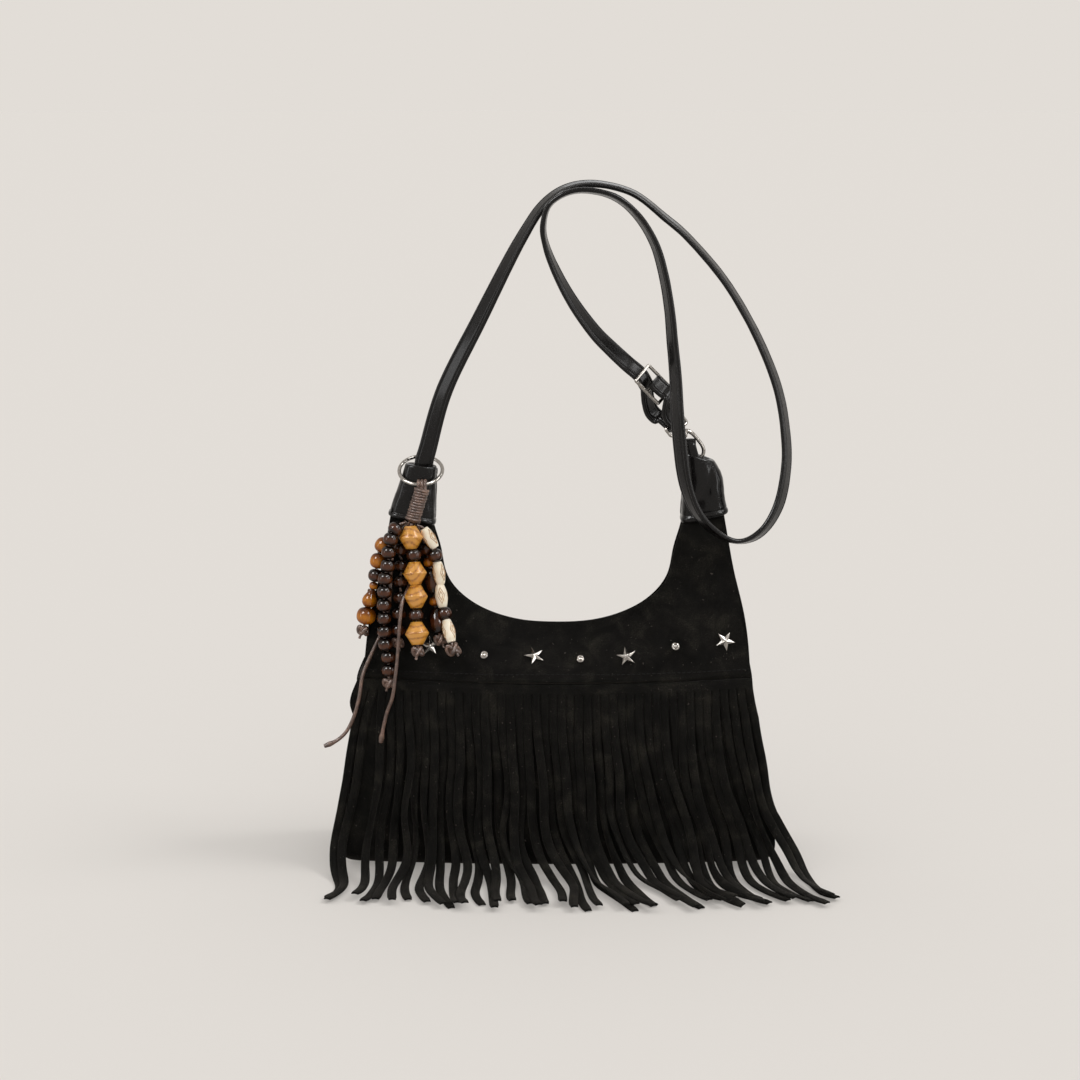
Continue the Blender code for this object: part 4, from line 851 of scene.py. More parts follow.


# Seam over the fringe: rows of black waxed thread, 0.5 mm thick, three
# stitches to the centimetre, lying in the suede.
sewing_thread, tree, shader, place = start_material("waxed_sewing_thread", Roughness=0.7,
                                                    Specular_IOR_Level=0.15)
ply = add_node(tree, "ShaderNodeTexNoise", {"Vector": place, "Scale": 3000.0, "Detail": 2.0})
finish_material(tree, shader, ply.outputs["Fac"], ((0.3, "#040404"), (0.7, "#131110")))
STITCH_PITCH = 0.0032
STITCH_LENGTH = 0.0024
STITCH_RADIUS = 0.00028
STITCH_RISE = 0.0058


def add_stitch(bm, start, end, out):
    """One stitch: a short thread that bows out between two holes."""
    middle = (start + end) / 2 + out * STITCH_RADIUS * 0.9
    run = (end - start).normalized()
    across = run.cross(out).normalized()
    rings = []
    for t, size in ((0.0, 0.5), (0.2, 0.95), (0.5, 1.0), (0.8, 0.95), (1.0, 0.5)):
        point = (start * (1 - t) ** 2 + middle * 2 * t * (1 - t) + end * t ** 2)
        radius = STITCH_RADIUS * size
        rings.append([point + (across * c + out * s) * radius for c, s in circle(8)])
    add_loft(bm, rings)


def yoke_surface(x, z, side=-1):
    """A point on a yoke's outer face."""
    rise = z - seam_z(x / side_x(SEAM_Z))
    out = lap_out(rise, side) + slump(x, z, side) * clamp(rise / 0.012)
    return Vector((x, side * (skin_depth(x, z) + out), z))


def build_seam_stitches():
    """The stitch rows on both yokes, just over the seam."""
    bm = bmesh.new()
    edge = side_x(SEAM_Z)
    for side in (-1, 1):
        for k in range(int(2 * edge / STITCH_PITCH)):
            x = -edge + STITCH_PITCH * (k + 0.4)
            line_z = seam_z(x / edge) + STITCH_RISE
            add_stitch(bm, yoke_surface(x, line_z, side),
                       yoke_surface(x + STITCH_LENGTH, line_z, side), BACK * side)
    piece = mesh_piece("seam_stitches", bm, 60.0)
    settle(piece, sewing_thread, "bag", "suede")


build_seam_stitches()


# Leather of the caps, strap and loop: black smooth-grain cowhide, finished with a soft gloss.
# Its pores are about 1 mm apart, and the finish creases where the leather bends.
leather, tree, shader, place = start_material("finished_cowhide", Specular_IOR_Level=0.10,
                                              Coat_Weight=0.32, Coat_Roughness=0.12)
pebble = add_node(tree, "ShaderNodeTexVoronoi", {"Vector": place, "Scale": 1100.0})
crease = add_node(tree, "ShaderNodeTexNoise", {"Vector": place, "Scale": 260.0, "Detail": 4.0,
                                               "Distortion": 1.2})
wear = add_node(tree, "ShaderNodeTexNoise", {"Vector": place, "Scale": 45.0, "Detail": 3.0})
relief = add_node(tree, "ShaderNodeMath", {0: pebble.outputs["Distance"],
                                           1: crease.outputs["Fac"]}, operation="ADD")
finish_material(tree, shader, wear.outputs["Fac"],
                ((0.35, "#070606"), (0.62, "#0D0B0B"), (0.8, "#171312")),
                relief=(relief.outputs[0], 0.35, 0.00025),
                gloss=(crease.outputs["Fac"], {"From Min": 0.3, "From Max": 0.7, "To Min": 0.22,
                                               "To Max": 0.40}))


# Caps: leather sleeves glued and sewn over the two horns. Each has a folded hem, a welt down the
# side that faces the mouth, and a soft crease where its top is gathered round the strap or loop.
CAP_WALL = 0.0013
CAP_TOP_HALF_WIDTH = 0.0098
CAP_TOP_HALF_DEPTH = 0.0070
HORN_MIDDLE_X = (HORN_OUTER_X + HORN_INNER_X) / 2
CAP_STATIONS = 72
WELT_RADIUS = 0.00075


def cap_ring(side, t, grow, lean_crease):
    """One level of a cap, from its hem (t = 0) to its top (t = 1). The right cap stands fuller."""
    soft = clamp((t - 0.06) / 0.94)
    ease = 0.8 * soft + 0.2 * soft * soft * (3 - 2 * soft)
    hem_z = 0.2242 if side < 0 else 0.2256
    top_z = CAP_TOP_Z if side < 0 else CAP_TOP_Z + 0.0058
    top_x = CAP_TOP_X if side < 0 else CAP_TOP_X + 0.0030
    full = 0.0 if side < 0 else 0.0012 * math.sin(math.pi * clamp(t) ** 1.8) ** 1.5
    hem_x = HORN_MIDDLE_X - (0.0012 if side < 0 else 0.0)
    x_mid = side * (hem_x + (top_x - hem_x) * ease + full)
    hem_half = (HORN_OUTER_X - HORN_INNER_X) / 2 + 2 * GAP + CAP_WALL
    hem_depth = HORN_HALF_DEPTH + 4 * GAP + CAP_WALL
    half_x = hem_half + (CAP_TOP_HALF_WIDTH - hem_half) * ease + grow + full
    half_y = hem_depth + (CAP_TOP_HALF_DEPTH - hem_depth) * ease + grow + full
    z = hem_z + (top_z - hem_z) * t
    power = 3.4 - 0.9 * ease
    ring = []
    for c, s in circle(CAP_STATIONS):
        px = half_x * math.copysign(abs(c) ** (2 / power), c)
        py = half_y * math.copysign(abs(s) ** (2 / power), s)
        dent = lean_crease * math.sin(math.pi * t) * hump(c * 1.6 - t * 1.5, -0.6, 0.28)
        puff = 0.0004 * noise.noise(Vector((px * 160 + side * 9, py * 160, z * 120)))
        factor = 1 - dent * 0.09 * (1 if s < 0 else 0.6)
        outward = side * px / half_x
        tilt = 0.0030 * (outward - 1) * (1 - t) + (0.0008 if side < 0 else -0.0028) * outward * t ** 3
        ring.append(Vector((x_mid + px * (factor * 0.3 + 0.7) + math.copysign(puff, px),
                            py * factor + math.copysign(puff, py), z + tilt)))
    return ring


def build_cap(name, node, side, crease_depth):
    """A cap: its closed top, its rounded shoulder, its side, its folded hem and its inner face."""
    rings = []
    top_steps = 5
    for k in range(top_steps):
        shrink = -0.0062 + 0.0056 * k / top_steps
        ring = cap_ring(side, 1.0, shrink, 0.0)
        for point in ring:
            point.z += 0.0002 - 0.0006 * (1 - k / top_steps)
        rings.append(ring)
    for k in range(7):
        angle = math.pi / 2 * k / 6
        rings.append(cap_ring(side, 1.0 - 0.035 * (1 - math.cos(angle)), -0.0010 * (1 - math.sin(angle)),
                              crease_depth))
    for k in range(1, 30):
        rings.append(cap_ring(side, 0.965 - (0.965 - 0.13) * k / 29, 0.0, crease_depth))
    for t, grow in ((0.115, 0.0), (0.100, -0.0003), (0.085, 0.0), (0.07, 0.0004), (0.045, 0.0007),
                    (0.020, 0.0006), (0.004, 0.0003), (-0.010, -0.0003), (-0.012, -0.0009)):
        rings.append(cap_ring(side, t, grow, crease_depth))
    rings += [cap_ring(side, t, -CAP_WALL, 0.0) for t in (0.0, 0.09)]
    settle(lofted(name, rings, sharp=70.0), leather, "bag", "leather", node)


def build_welt(name, side):
    """Piped edge down the cap's side towards the mouth."""
    bm = bmesh.new()
    rings = []
    for k in range(32):
        t = 0.015 + 0.93 * k / 31
        ring = cap_ring(side, t, 0.0, 0.0)
        inward = min(ring, key=lambda p: side * p.x - 0.4 * abs(p.y + 0.004))
        point = inward + Vector((-side * 0.0001, -0.0002, 0.0))
        rings.append([point + Vector((c, s, 0.0)) * WELT_RADIUS for c, s in circle(10)])
    add_loft(bm, rings)
    settle(mesh_piece(name, bm, 60.0), leather, "bag", "leather")


build_cap("cap_left_leather", "cap_left", -1, 0.6)
build_cap("cap_right_leather", "cap_right", 1, 1.6)
build_welt("cap_left_welt", -1)
build_welt("cap_right_welt", 1)


# Strap: one long piece of leather folded round a core and sewn, 12 mm wide and 3 mm thick, with
# a pressed groove near each edge. It runs from the left cap over the top, down round the right
# side and back up through the adjuster, round the hook's eye, and ends at the adjuster.
STRAP_WIDTH = 0.012
STRAP_THICKNESS = 0.003
STRAP_END_BOW = 0.0072
STRAP_RIPPLE = 0.08
SLIDER_WIRE = 0.0010
SLIDER_LENGTH = 0.0225
SLIDER_CORNER = 0.0007
EYE_WIRE = 0.0010

# Route in millimetres, with the turn of the flat face in degrees: 0 faces the front.
STRAP_ROUTE = (
    (-84.5, 0, 252.3, 0), (-84.5, 0, 258.0, 4), (-82.2, 0, 266, 18), (-71, 0, 304, 32),
    (-49, 0, 348, 42),
    (-23, 0, 398, 60), (-5, 0, 423, 72), (17, 0, 432, 80), (45, 0, 427, 82),
    (67, 0, 411, 78), (82, 0, 398, 77), (103, 0, 374, 75), (119, 0, 349, 73),
    (131, -1, 325, 70), (139, -4, 303, 67), (143, -8, 281, 64), (144, -12, 258, 60),
    (139, -18, 233, 56), (127, -23, 216, 62), (110, -26, 212, 76), (91, -28, 225, 66),
    (80, -28, 247, 56), (75, -25, 282, 54), (73, -20, 315, 60), (71, -17, 336, 64),
    (69, -16, 356, 68), (65, -15, 378, 70), (59, -14, 397, 72), (48, -14, 414, 75),
    (33, -14, 425.4, 78), (12, -14, 428.6, 82), (-4, -14, 421.4, 84), (-9, -14, 408, 84),
    (-7, -12, 394, 80), (0, -10, 377, 70), (10, -8, 359, 60), (23, -4, 341, 52),
    (34, -1, 329.5, 46), (44, 2, 320, 42),
)
SLIDER_CENTRE = Vector((0.0604, 0.0, 0.3072))
SLIDER_RUN = Vector((0.70, 0.0, -0.714)).normalized()
HOOK_EYE = Vector((0.0733, 0.0, 0.2832))
HOOK_AXIS = Vector((0.625, 0.0, -0.781)).normalized()


def across_run(run, turn):
    """The direction across a run, turned away from the front view by an angle."""
    flat = run.cross(BACK).normalized()
    return flat * math.cos(turn) + BACK * math.sin(turn)


SLIDER_ACROSS = across_run(SLIDER_RUN, math.radians(40))
SLIDER_FACE = SLIDER_RUN.cross(SLIDER_ACROSS).normalized()
EYE_ACROSS = across_run(HOOK_AXIS, math.radians(30))
EYE_FACE = HOOK_AXIS.cross(EYE_ACROSS).normalized()


def strap_stations():
    """Points of the strap's middle line, each with its direction across."""
    route = [Vector(p[:3]) * MM for p in STRAP_ROUTE]
    hints = []
    for i, point in enumerate(STRAP_ROUTE):
        run = (route[min(i + 1, len(route) - 1)] - route[max(i - 1, 0)]).normalized()
        hints.append(across_run(run, math.radians(point[3])))
    offset = SLIDER_WIRE + STRAP_THICKNESS / 2 + 0.0004
    eye_offset = EYE_WIRE + STRAP_THICKNESS / 2 + 0.0006
    aside = across_run(SLIDER_RUN, 0.0)
    for run, bow in ((-0.010, 0.0), (-0.002, 0.0012), (0.005, 0.0048), (0.012, STRAP_END_BOW),
                     (0.018, STRAP_END_BOW)):
        route.append(SLIDER_CENTRE + SLIDER_RUN * run - SLIDER_FACE * (offset + bow)
                     - aside * bow * 0.9)
        hints.append(SLIDER_ACROSS)
    diagonal = eye_offset * math.sqrt(0.5)
    for along, off in ((-0.006, -eye_offset - STRAP_END_BOW * 0.4), (-0.0005, -eye_offset),
                       (diagonal, -diagonal), (eye_offset, 0.0), (diagonal, diagonal),
                       (-0.0005, eye_offset), (-0.007, eye_offset + 0.0012)):
        route.append(HOOK_EYE + HOOK_AXIS * along + EYE_FACE * off)
        hints.append(EYE_ACROSS)
    for run, lift in ((0.012, 0.0016), (0.007, 0.0006), (0.001, 0.0), (-0.002, 0.0)):
        route.append(SLIDER_CENTRE + SLIDER_RUN * run + SLIDER_FACE * (offset + lift))
        hints.append(SLIDER_ACROSS)
    return route, hints


def band_section(half_w, half_t, groove_at, groove):
    """Section of a folded leather band: round edges and a groove near each edge on both faces."""
    top = []
    for k in range(-14, 15):
        a = half_w * math.sin(math.pi / 2 * k / 14)
        edge = clamp((half_w - abs(a)) / (half_t * 1.1))
        b = half_t * math.sqrt(max(0.0, 1 - (1 - edge) ** 2))
        b -= groove * hump(abs(a), groove_at, 0.00035)
        top.append((a, b))
    return [(a, b) for a, b in top] + [(a, -b) for a, b in reversed(top[1:-1])]


def band_rings(points, hints, section, ripple=0.0):
    """Rings of a band along a path, flat along each hint, its thickness rippling by a share."""
    rings = []
    last = len(points) - 1
    for i, (point, hint) in enumerate(zip(points, hints)):
        run = (points[min(i + 1, last)] - points[max(i - 1, 0)]).normalized()
        across = (hint - hint.dot(run) * run).normalized()
        face = run.cross(across) * (1 + ripple * noise.noise(Vector((i * 0.23, 4.0, 0.0))))
        rings.append([point + across * a + face * b for a, b in section])
    return rings


def build_strap():
    """The strap: long run and end are smoothed apart, because they meet in the adjuster."""
    route, hints = strap_stations()
    joined = [Vector((*p, *h)) for p, h in zip(route, hints)]
    main = smooth_path(joined[:len(STRAP_ROUTE) + 2], 420)
    tail = smooth_path(joined[len(STRAP_ROUTE) + 1:], 90)
    samples = main + tail[1:]
    section = band_section(STRAP_WIDTH / 2, STRAP_THICKNESS / 2, 0.0037, 0.00042)
    rings = band_rings([Vector(sample[:3]) for sample in samples],
                       [Vector(sample[3:]) for sample in samples], section, STRAP_RIPPLE)
    settle(lofted("strap_leather", rings, sharp=50.0), leather, "bag", "leather", "strap")


build_strap()


# Adjuster, hook, ring and studs: die-cast zinc and steel wire, nickel plated and polished, so
# they mirror the room, with hairline wear from handling.
nickel, tree, shader, place = start_material("polished_nickel_plate", Metallic=1.0)
haze = add_node(tree, "ShaderNodeTexNoise", {"Vector": place, "Scale": 500.0, "Detail": 3.0})
finish_material(tree, shader, haze.outputs["Fac"], ((0.3, "#8B8782"), (0.7, "#B2AEA9")),
                gloss=(haze.outputs["Fac"], {"To Min": 0.07, "To Max": 0.20}))


def tube_rings(points, radius, sides=16, sizes=None, closed=False, square=2.0):
    """Rings along a wire, carried without twist from point to point."""
    count = len(points)
    rings = []
    across = None
    for i, point in enumerate(points):
        ahead = points[(i + 1) % count] if closed else points[min(i + 1, count - 1)]
        behind = points[i - 1] if closed else points[max(i - 1, 0)]
        run = (ahead - behind).normalized()
        if across is None:
            across = run.orthogonal().normalized()
        across = (across - across.dot(run) * run).normalized()
        other = run.cross(across)
        size = radius * (sizes[i] if sizes else 1.0)
        ring = []
        for c, s in circle(sides):
            c = math.copysign(abs(c) ** (2 / square), c)
            s = math.copysign(abs(s) ** (2 / square), s)
            ring.append(point + (across * c + other * s) * size)
        rings.append(ring)
    return rings


def add_turned(bm, profile, place, steps=32, bored=False):
    """Add a form turned about the Z of a place from (radius, height) points, solid or bored."""
    rings = [[place @ Vector((radius * c, radius * s, height)) for c, s in circle(steps)]
             for radius, height in profile]
    add_loft(bm, rings, closed=bored)


def build_slider():
    """The adjuster: a rectangle of squared wire with rounded corners, and a bar across it."""
    half_run = SLIDER_LENGTH / 2 - SLIDER_WIRE
    half_across = STRAP_WIDTH / 2 + SLIDER_WIRE + 0.0008
    corners = []
    for run, across in ((1, 1), (-1, 1), (-1, -1), (1, -1)):
        centre = SLIDER_CENTRE + SLIDER_RUN * run * (half_run - SLIDER_CORNER)
        centre += SLIDER_ACROSS * across * (half_across - SLIDER_CORNER)
        for k in range(5):
            a = math.pi / 2 * k / 4
            along, aside = (math.cos(a), math.sin(a)) if run == across else (math.sin(a), math.cos(a))
            corners.append(centre + SLIDER_RUN * run * along * SLIDER_CORNER
                           + SLIDER_ACROSS * across * aside * SLIDER_CORNER)
    bm = bmesh.new()
    add_loft(bm, tube_rings(corners, SLIDER_WIRE, 20, closed=True, square=3.2), closed=True)
    bar = [SLIDER_CENTRE + SLIDER_ACROSS * half_across * t for t in (-1, -0.5, 0, 0.5, 1)]
    add_loft(bm, tube_rings(bar, SLIDER_WIRE * 0.85, 16))
    settle(mesh_piece("slider_frame", bm), nickel, "bag", "nickel", "slider")


def hook_at(along, aside, out=0.0):
    """A point on the hook: along its axis from the eye, to its side, and towards the back."""
    return HOOK_EYE + HOOK_AXIS * along + across_run(HOOK_AXIS, 0.0) * aside + BACK * out


EYE_DEPTH = 0.0062
COLLAR_TOP = 0.0076
COLLAR_BOTTOM = 0.0114
GATE_ALONG = 0.0097
GATE_ASIDE = -0.0048


def build_eye():
    """The hook's eye, a bent wire rectangle, with the rivet that the hook turns on."""
    half = STRAP_WIDTH / 2 + EYE_WIRE + 0.0006
    outline = []
    for along, across, from_angle, radius in ((0.001, half - 0.001, 180, 0.001),
                                              (EYE_DEPTH - 0.0016, half - 0.0016, 90, 0.0016),
                                              (EYE_DEPTH - 0.0016, 0.0016 - half, 0, 0.0016),
                                              (0.001, 0.001 - half, -90, 0.001)):
        for k in range(6):
            a = math.radians(from_angle - 90 * k / 5)
            outline.append(HOOK_EYE + HOOK_AXIS * (along + radius * math.cos(a))
                           + EYE_ACROSS * (across + radius * math.sin(a)))
    bm = bmesh.new()
    add_loft(bm, tube_rings(outline, EYE_WIRE, 16, closed=True), closed=True)
    head = COLLAR_BOTTOM + GAP
    profile = [(0.0002, head + 0.0012), (0.0013, head + 0.0010), (0.0019, head + 0.0005),
               (0.0017, head), (0.0011, head), (0.0011, EYE_DEPTH), (0.0002, EYE_DEPTH)]
    add_turned(bm, profile, frame_at(HOOK_EYE, HOOK_AXIS, EYE_ACROSS), 24)
    settle(mesh_piece("hook_eye_wire", bm), nickel, "bag", "nickel", "hook_eye")


def build_hook():
    """The hook: a grooved collar, a tapering bent bar, and two ears with the gate's pin."""
    place = frame_at(HOOK_EYE, HOOK_AXIS, across_run(HOOK_AXIS, 0.0))
    profile = [(0.0015, COLLAR_TOP), (0.0027, COLLAR_TOP), (0.0032, COLLAR_TOP + 0.0003),
               (0.0033, COLLAR_TOP + 0.0010), (0.0030, COLLAR_TOP + 0.0016),
               (0.0033, COLLAR_TOP + 0.0022), (0.0033, COLLAR_BOTTOM - 0.0005),
               (0.0029, COLLAR_BOTTOM), (0.0015, COLLAR_BOTTOM)]
    bm = bmesh.new()
    add_turned(bm, profile, place, 32, bored=True)
    route = ((9.2, 2.6), (11.0, 4.2), (14.0, 5.0), (18.5, 5.2), (23.0, 5.0), (26.2, 3.9),
             (28.2, 1.6), (28.4, -1.2), (27.2, -3.6), (25.0, -4.9), (23.6, -5.1))
    points = smooth_path([hook_at(a * MM, b * MM) for a, b in route], 48)
    sizes = [1.25 - 0.25 * clamp(i / 12) + 0.12 * clamp((i - 40) / 7) for i in range(48)]
    add_loft(bm, tube_rings(points, 0.0012, 20, sizes))
    for side in (-1, 1):
        centre = hook_at(GATE_ALONG, GATE_ASIDE + 0.0006, side * 0.0016)
        ear = frame_at(centre, BACK * side, HOOK_AXIS)
        add_turned(bm, [(0.0003, 0.0005), (0.0013, 0.0005), (0.0017, 0.0002), (0.0017, -0.0004),
                        (0.0003, -0.0004)], ear, 24)
    pin = [hook_at(GATE_ALONG, GATE_ASIDE, y) for y in (-0.0022, -0.0011, 0.0011, 0.0022)]
    add_loft(bm, tube_rings(pin, 0.0005, 12))
    settle(mesh_piece("hook_casting", bm), nickel, "hook", "nickel", "hook_body")


def build_gate():
    """The sprung gate: a barrel on the pin and a straight bar that closes the hook's mouth."""
    bm = bmesh.new()
    place = frame_at(hook_at(GATE_ALONG, GATE_ASIDE), BACK, HOOK_AXIS)
    profile = [(0.0008, 0.0009), (0.0013, 0.0009), (0.0015, 0.0006), (0.0015, -0.0006),
               (0.0013, -0.0009), (0.0008, -0.0009)]
    add_turned(bm, profile, place, 24, bored=True)
    bar = smooth_path([hook_at(0.0108, -0.0049), hook_at(0.016, -0.0050), hook_at(0.0230, -0.0051)], 16)
    add_loft(bm, tube_rings(bar, 0.0008, 16, [1.0] * 13 + [1.1, 1.1, 0.9]))
    settle(mesh_piece("hook_gate_bar", bm), nickel, "gate", "nickel", "hook_gate")


build_slider()
build_eye()
build_hook()
build_gate()


# Loop on the right cap: a narrow leather band bent double, its ends sewn into the cap, which
# the hook holds.
LOOP_HALF_SPAN = 0.0048
LOOP_STATIONS = 80


def build_hook_loop():
    """The loop: two legs from the cap and a bend between them."""
    crown = hook_at(0.0162, 0.0011)
    foot = Vector((CAP_TOP_X + 0.0010, 0.0, CAP_TOP_Z - 0.0037))
    up = crown - UP * LOOP_HALF_SPAN * 0.9
    legs = []
    for side in (-1, 1):
        y = side * LOOP_HALF_SPAN
        leg = [Vector((foot.x, y, foot.z)), Vector((foot.x, y, CAP_TOP_Z + 0.001)),
               Vector((up.x + (foot.x - up.x) * 0.25, y, up.z - 0.0015))]
        bend = [Vector((up.x, y * math.cos(a), up.z + LOOP_HALF_SPAN * math.sin(a)))
                for a in (math.radians(25), math.radians(55))]
        legs.append((leg + bend) if side < 0 else (leg + bend)[::-1])
    route = legs[0] + [Vector((up.x, 0.0, up.z + LOOP_HALF_SPAN))] + legs[1]
    section = band_section(0.0033, 0.0011, 0.0021, 0.00014)
    rings = band_rings(smooth_path(route, LOOP_STATIONS), [RIGHT] * LOOP_STATIONS, section)
    settle(lofted("hook_loop_leather", rings, sharp=50.0), leather, "bag", "leather",
           "hook_loop")


build_hook_loop()


# Ring: an O-ring of polished wire, 2.4 mm thick and 27 mm across, that lies round the foot of
# the strap, low at the front, where the charm hangs on it.
def build_ring():
    """The ring, tilted down at the front."""
    towards_back = Vector((0.0, math.cos(RING_TILT), math.sin(RING_TILT)))
    points = [RING_CENTRE + (RIGHT * s + towards_back * c) * RING_RADIUS for c, s in circle(96)]
    bm = bmesh.new()
    add_loft(bm, tube_rings(points, RING_WIRE, 24, closed=True), closed=True)
    settle(mesh_piece("ring_wire", bm), nickel, "ring", "nickel", "ring")


build_ring()


# Charm head: three bights of waxed cord go over the ring and down into a whipping of twelve
# turns of the same cord, which binds the strands.
WRAP_RADIUS = 0.0048
WHIP_CORD = 0.00098
WHIP_TURNS = 12
BIGHT_CORD = 0.00112


def build_whipping():
    """The whipping: one cord wound round a core."""
    bm = bmesh.new()
    place = frame_at(WRAP_BOTTOM, WRAP_TOP - WRAP_BOTTOM, RIGHT)
    length = (WRAP_TOP - WRAP_BOTTOM).length + 0.0014
    per_turn = 28
    points = []
    for k in range(WHIP_TURNS * per_turn + 1):
        a = 2 * math.pi * k / per_turn
        t = k / (WHIP_TURNS * per_turn)
        swell = 1.0 + 0.05 * math.sin(a * 0.37) + 0.10 * hump(t, 0.0, 0.10)
        r = (WRAP_RADIUS - WHIP_CORD) * swell
        points.append(place @ Vector((r * math.cos(a), r * math.sin(a),
                                      0.0007 + (length - 0.0014) * t)))
    add_loft(bm, tube_rings(points, WHIP_CORD, 12))
    core = WRAP_RADIUS - WHIP_CORD * 1.1
    add_turned(bm, [(0.0006, length), (core * 0.8, length), (core, length - 0.0006),
                    (core, 0.0006), (core * 0.8, 0.0), (0.0006, 0.0)], place, 32)
    settle(mesh_piece("charm_whipping", bm, 60.0), waxed_cord, "charm", "cord", "charm_wrap")


def build_bights():
    """The three bights of cord over the ring."""
    bm = bmesh.new()
    radius = RING_WIRE + GAP + 0.0010
    for lane in (-1, 0, 1):
        x = RING_FRONT.x + 0.0012 + lane * 0.0021
        low = WRAP_TOP.z - 0.0014
        stops = [Vector((x - lane * 0.0004, RING_FRONT.y + 0.0002, low)),
                 Vector((x, RING_FRONT.y + radius, RING_FRONT.z - 0.0012))]
        stops += [Vector((x, RING_FRONT.y + radius * math.cos(a), RING_FRONT.z + radius * math.sin(a)))
                  for a in (0.0, math.pi / 4, math.pi / 2, math.pi * 3 / 4, math.pi)]
        stops += [Vector((x, RING_FRONT.y - radius, RING_FRONT.z - 0.0014)),
                  Vector((x - lane * 0.0004, RING_FRONT.y - radius - 0.0010, low))]
        add_loft(bm, tube_rings(smooth_path(stops, 40), BIGHT_CORD, 12))
    settle(mesh_piece("charm_bights", bm, 60.0), waxed_cord, "charm", "cord", "charm_loop")


build_whipping()
build_bights()


# Beads: turned wood and carved bone, strung on thin waxed cord. Lacquer on the dark and amber
# beads gives them a wet gloss, the golden ones are waxed, and the bone is matt and carved.
STRAND_CORD = 0.0008
BEAD_BORE = 0.0013
BEAD_STEPS = 36
DARK, GOLD, BONES = "dark", "gold", "bone"
STRAND_A = (
    (DARK, -10.4, -3.5, 13.5), (DARK, -13.2, -9.6, 14.8), (DARK, -14.6, -18.2, 14.4),
    (DARK, -15.2, -26.8, 13.6), (DARK, -17.0, -35.4, 12.8), (DARK, -17.4, -44.0, 11.9),
    (DARK, -17.9, -52.6, 10.8), (DARK, -17.7, -61.2, 9.9), (DARK, -17.6, -69.8, 8.6),
    (DARK, -17.0, -78.4, 7.4), (DARK, -15.4, -87.0, 6.6), (DARK, -15.2, -95.6, 6.4),
)
STRAND_C = (
    (GOLD, -0.6, -9.2, 12.4), (DARK, 1.2, -19.9, 14.2), (GOLD, 1.9, -31.4, 15.0),
    (GOLD, 2.6, -46.2, 14.2), (DARK, 2.7, -58.2, 13.2), (GOLD, 3.5, -70.0, 12.4),
)
STRAND_D = (
    (BONES, 10.9, -10.2, 10.4), (DARK, 14.6, -21.8, 12.0), (BONES, 17.2, -33.8, 12.2),
    (BONES, 18.7, -48.6, 12.2), (DARK, 21.2, -60.2, 13.2), (BONES, 24.4, -71.6, 12.4),
)
STRAND_D_FOOT = (3.6, -1.6)
STRAND_E = (
    ("amber_round", -18.6, -15.0, 6.8), ("amber_round", -22.2, -26.0, 6.6),
    (DARK, -24.0, -36.2, 5.4), ("small", -25.4, -43.4, 4.6), ("gourd", -28.0, -52.2, 3.6),
    ("amber_large", -30.4, -63.2, 3.6),
)
STRAND_F = (
    (DARK, -7.4, -18.2, 5.0), (DARK, -7.0, -28.6, 5.4), (DARK, -7.6, -39.0, 5.4),
    (DARK, -7.5, -49.4, 5.4), (DARK, -8.4, -60.0, 5.4), (DARK, -8.8, -70.4, 5.4),
)
STRAND_G = (
    (DARK, 8.6, -18.2, 5.4), ("amber_small", 10.0, -26.8, 5.6), ("long", 12.4, -39.0, 5.8),
    ("amber_small", 13.9, -52.4, 5.8), ("long", 16.4, -66.0, 6.2),
)
BEAD_SIZE = {
    DARK: (4.65, 4.15), GOLD: (7.7, 7.35), BONES: (3.85, 7.3), "small": (2.7, 2.5),
    "amber_round": (5.1, 5.1), "amber_large": (6.2, 5.6), "gourd": (4.6, 5.8), "long": (4.9, 8.4),
    "amber_small": (3.4, 3.2),
}


def lacquered_wood(name, dark, mid, light, streaks):
    """Turned wood, stained and lacquered, with painted light: a painted glow just below the waist,
    where the grain shows through, and painted shade near the bores."""
    material, tree, shader, place = start_material(name, Roughness=0.45, Coat_Weight=0.75,
                                                   Coat_Roughness=0.06, Specular_IOR_Level=0.0)
    squeeze = add_node(tree, "ShaderNodeMapping", {"Vector": place, "Scale": (1.0, 1.0, streaks)})
    grain = add_node(tree, "ShaderNodeTexNoise", {"Vector": squeeze.outputs["Vector"],
                                                  "Scale": 380.0, "Detail": 3.0, "Distortion": 0.6})
    # Painted light: the bead attribute paints a glow just below each bead's waist and shade towards its
    # bores, and the grain only breaks it up.
    waist = add_node(tree, "ShaderNodeAttribute", attribute_name="painted_glow_and_shade")
    spread = add_node(tree, "ShaderNodeMapRange", {"Value": grain.outputs["Fac"], "From Min": 0.3,
                                                   "From Max": 0.7, "To Min": -0.16, "To Max": 0.16})
    depth = add_node(tree, "ShaderNodeMath", {0: waist.outputs["Fac"], 1: spread.outputs["Result"]},
                     operation="ADD")
    finish_material(tree, shader, depth.outputs[0], ((0.05, dark), (0.55, mid), (1.10, light)),
                    relief=(grain.outputs["Fac"], 0.12, 0.0003))
    return material


# Each wood's colours run from painted shade near the bores, through its own colour, to a painted glow below
# the waist.
dark_wood = lacquered_wood("lacquered_dark_wood", "#0C0604", "#241209", "#4E2812", 0.6)
amber_wood = lacquered_wood("lacquered_amber_wood", "#4A2206", "#8C4C0A", "#B87014", 0.6)

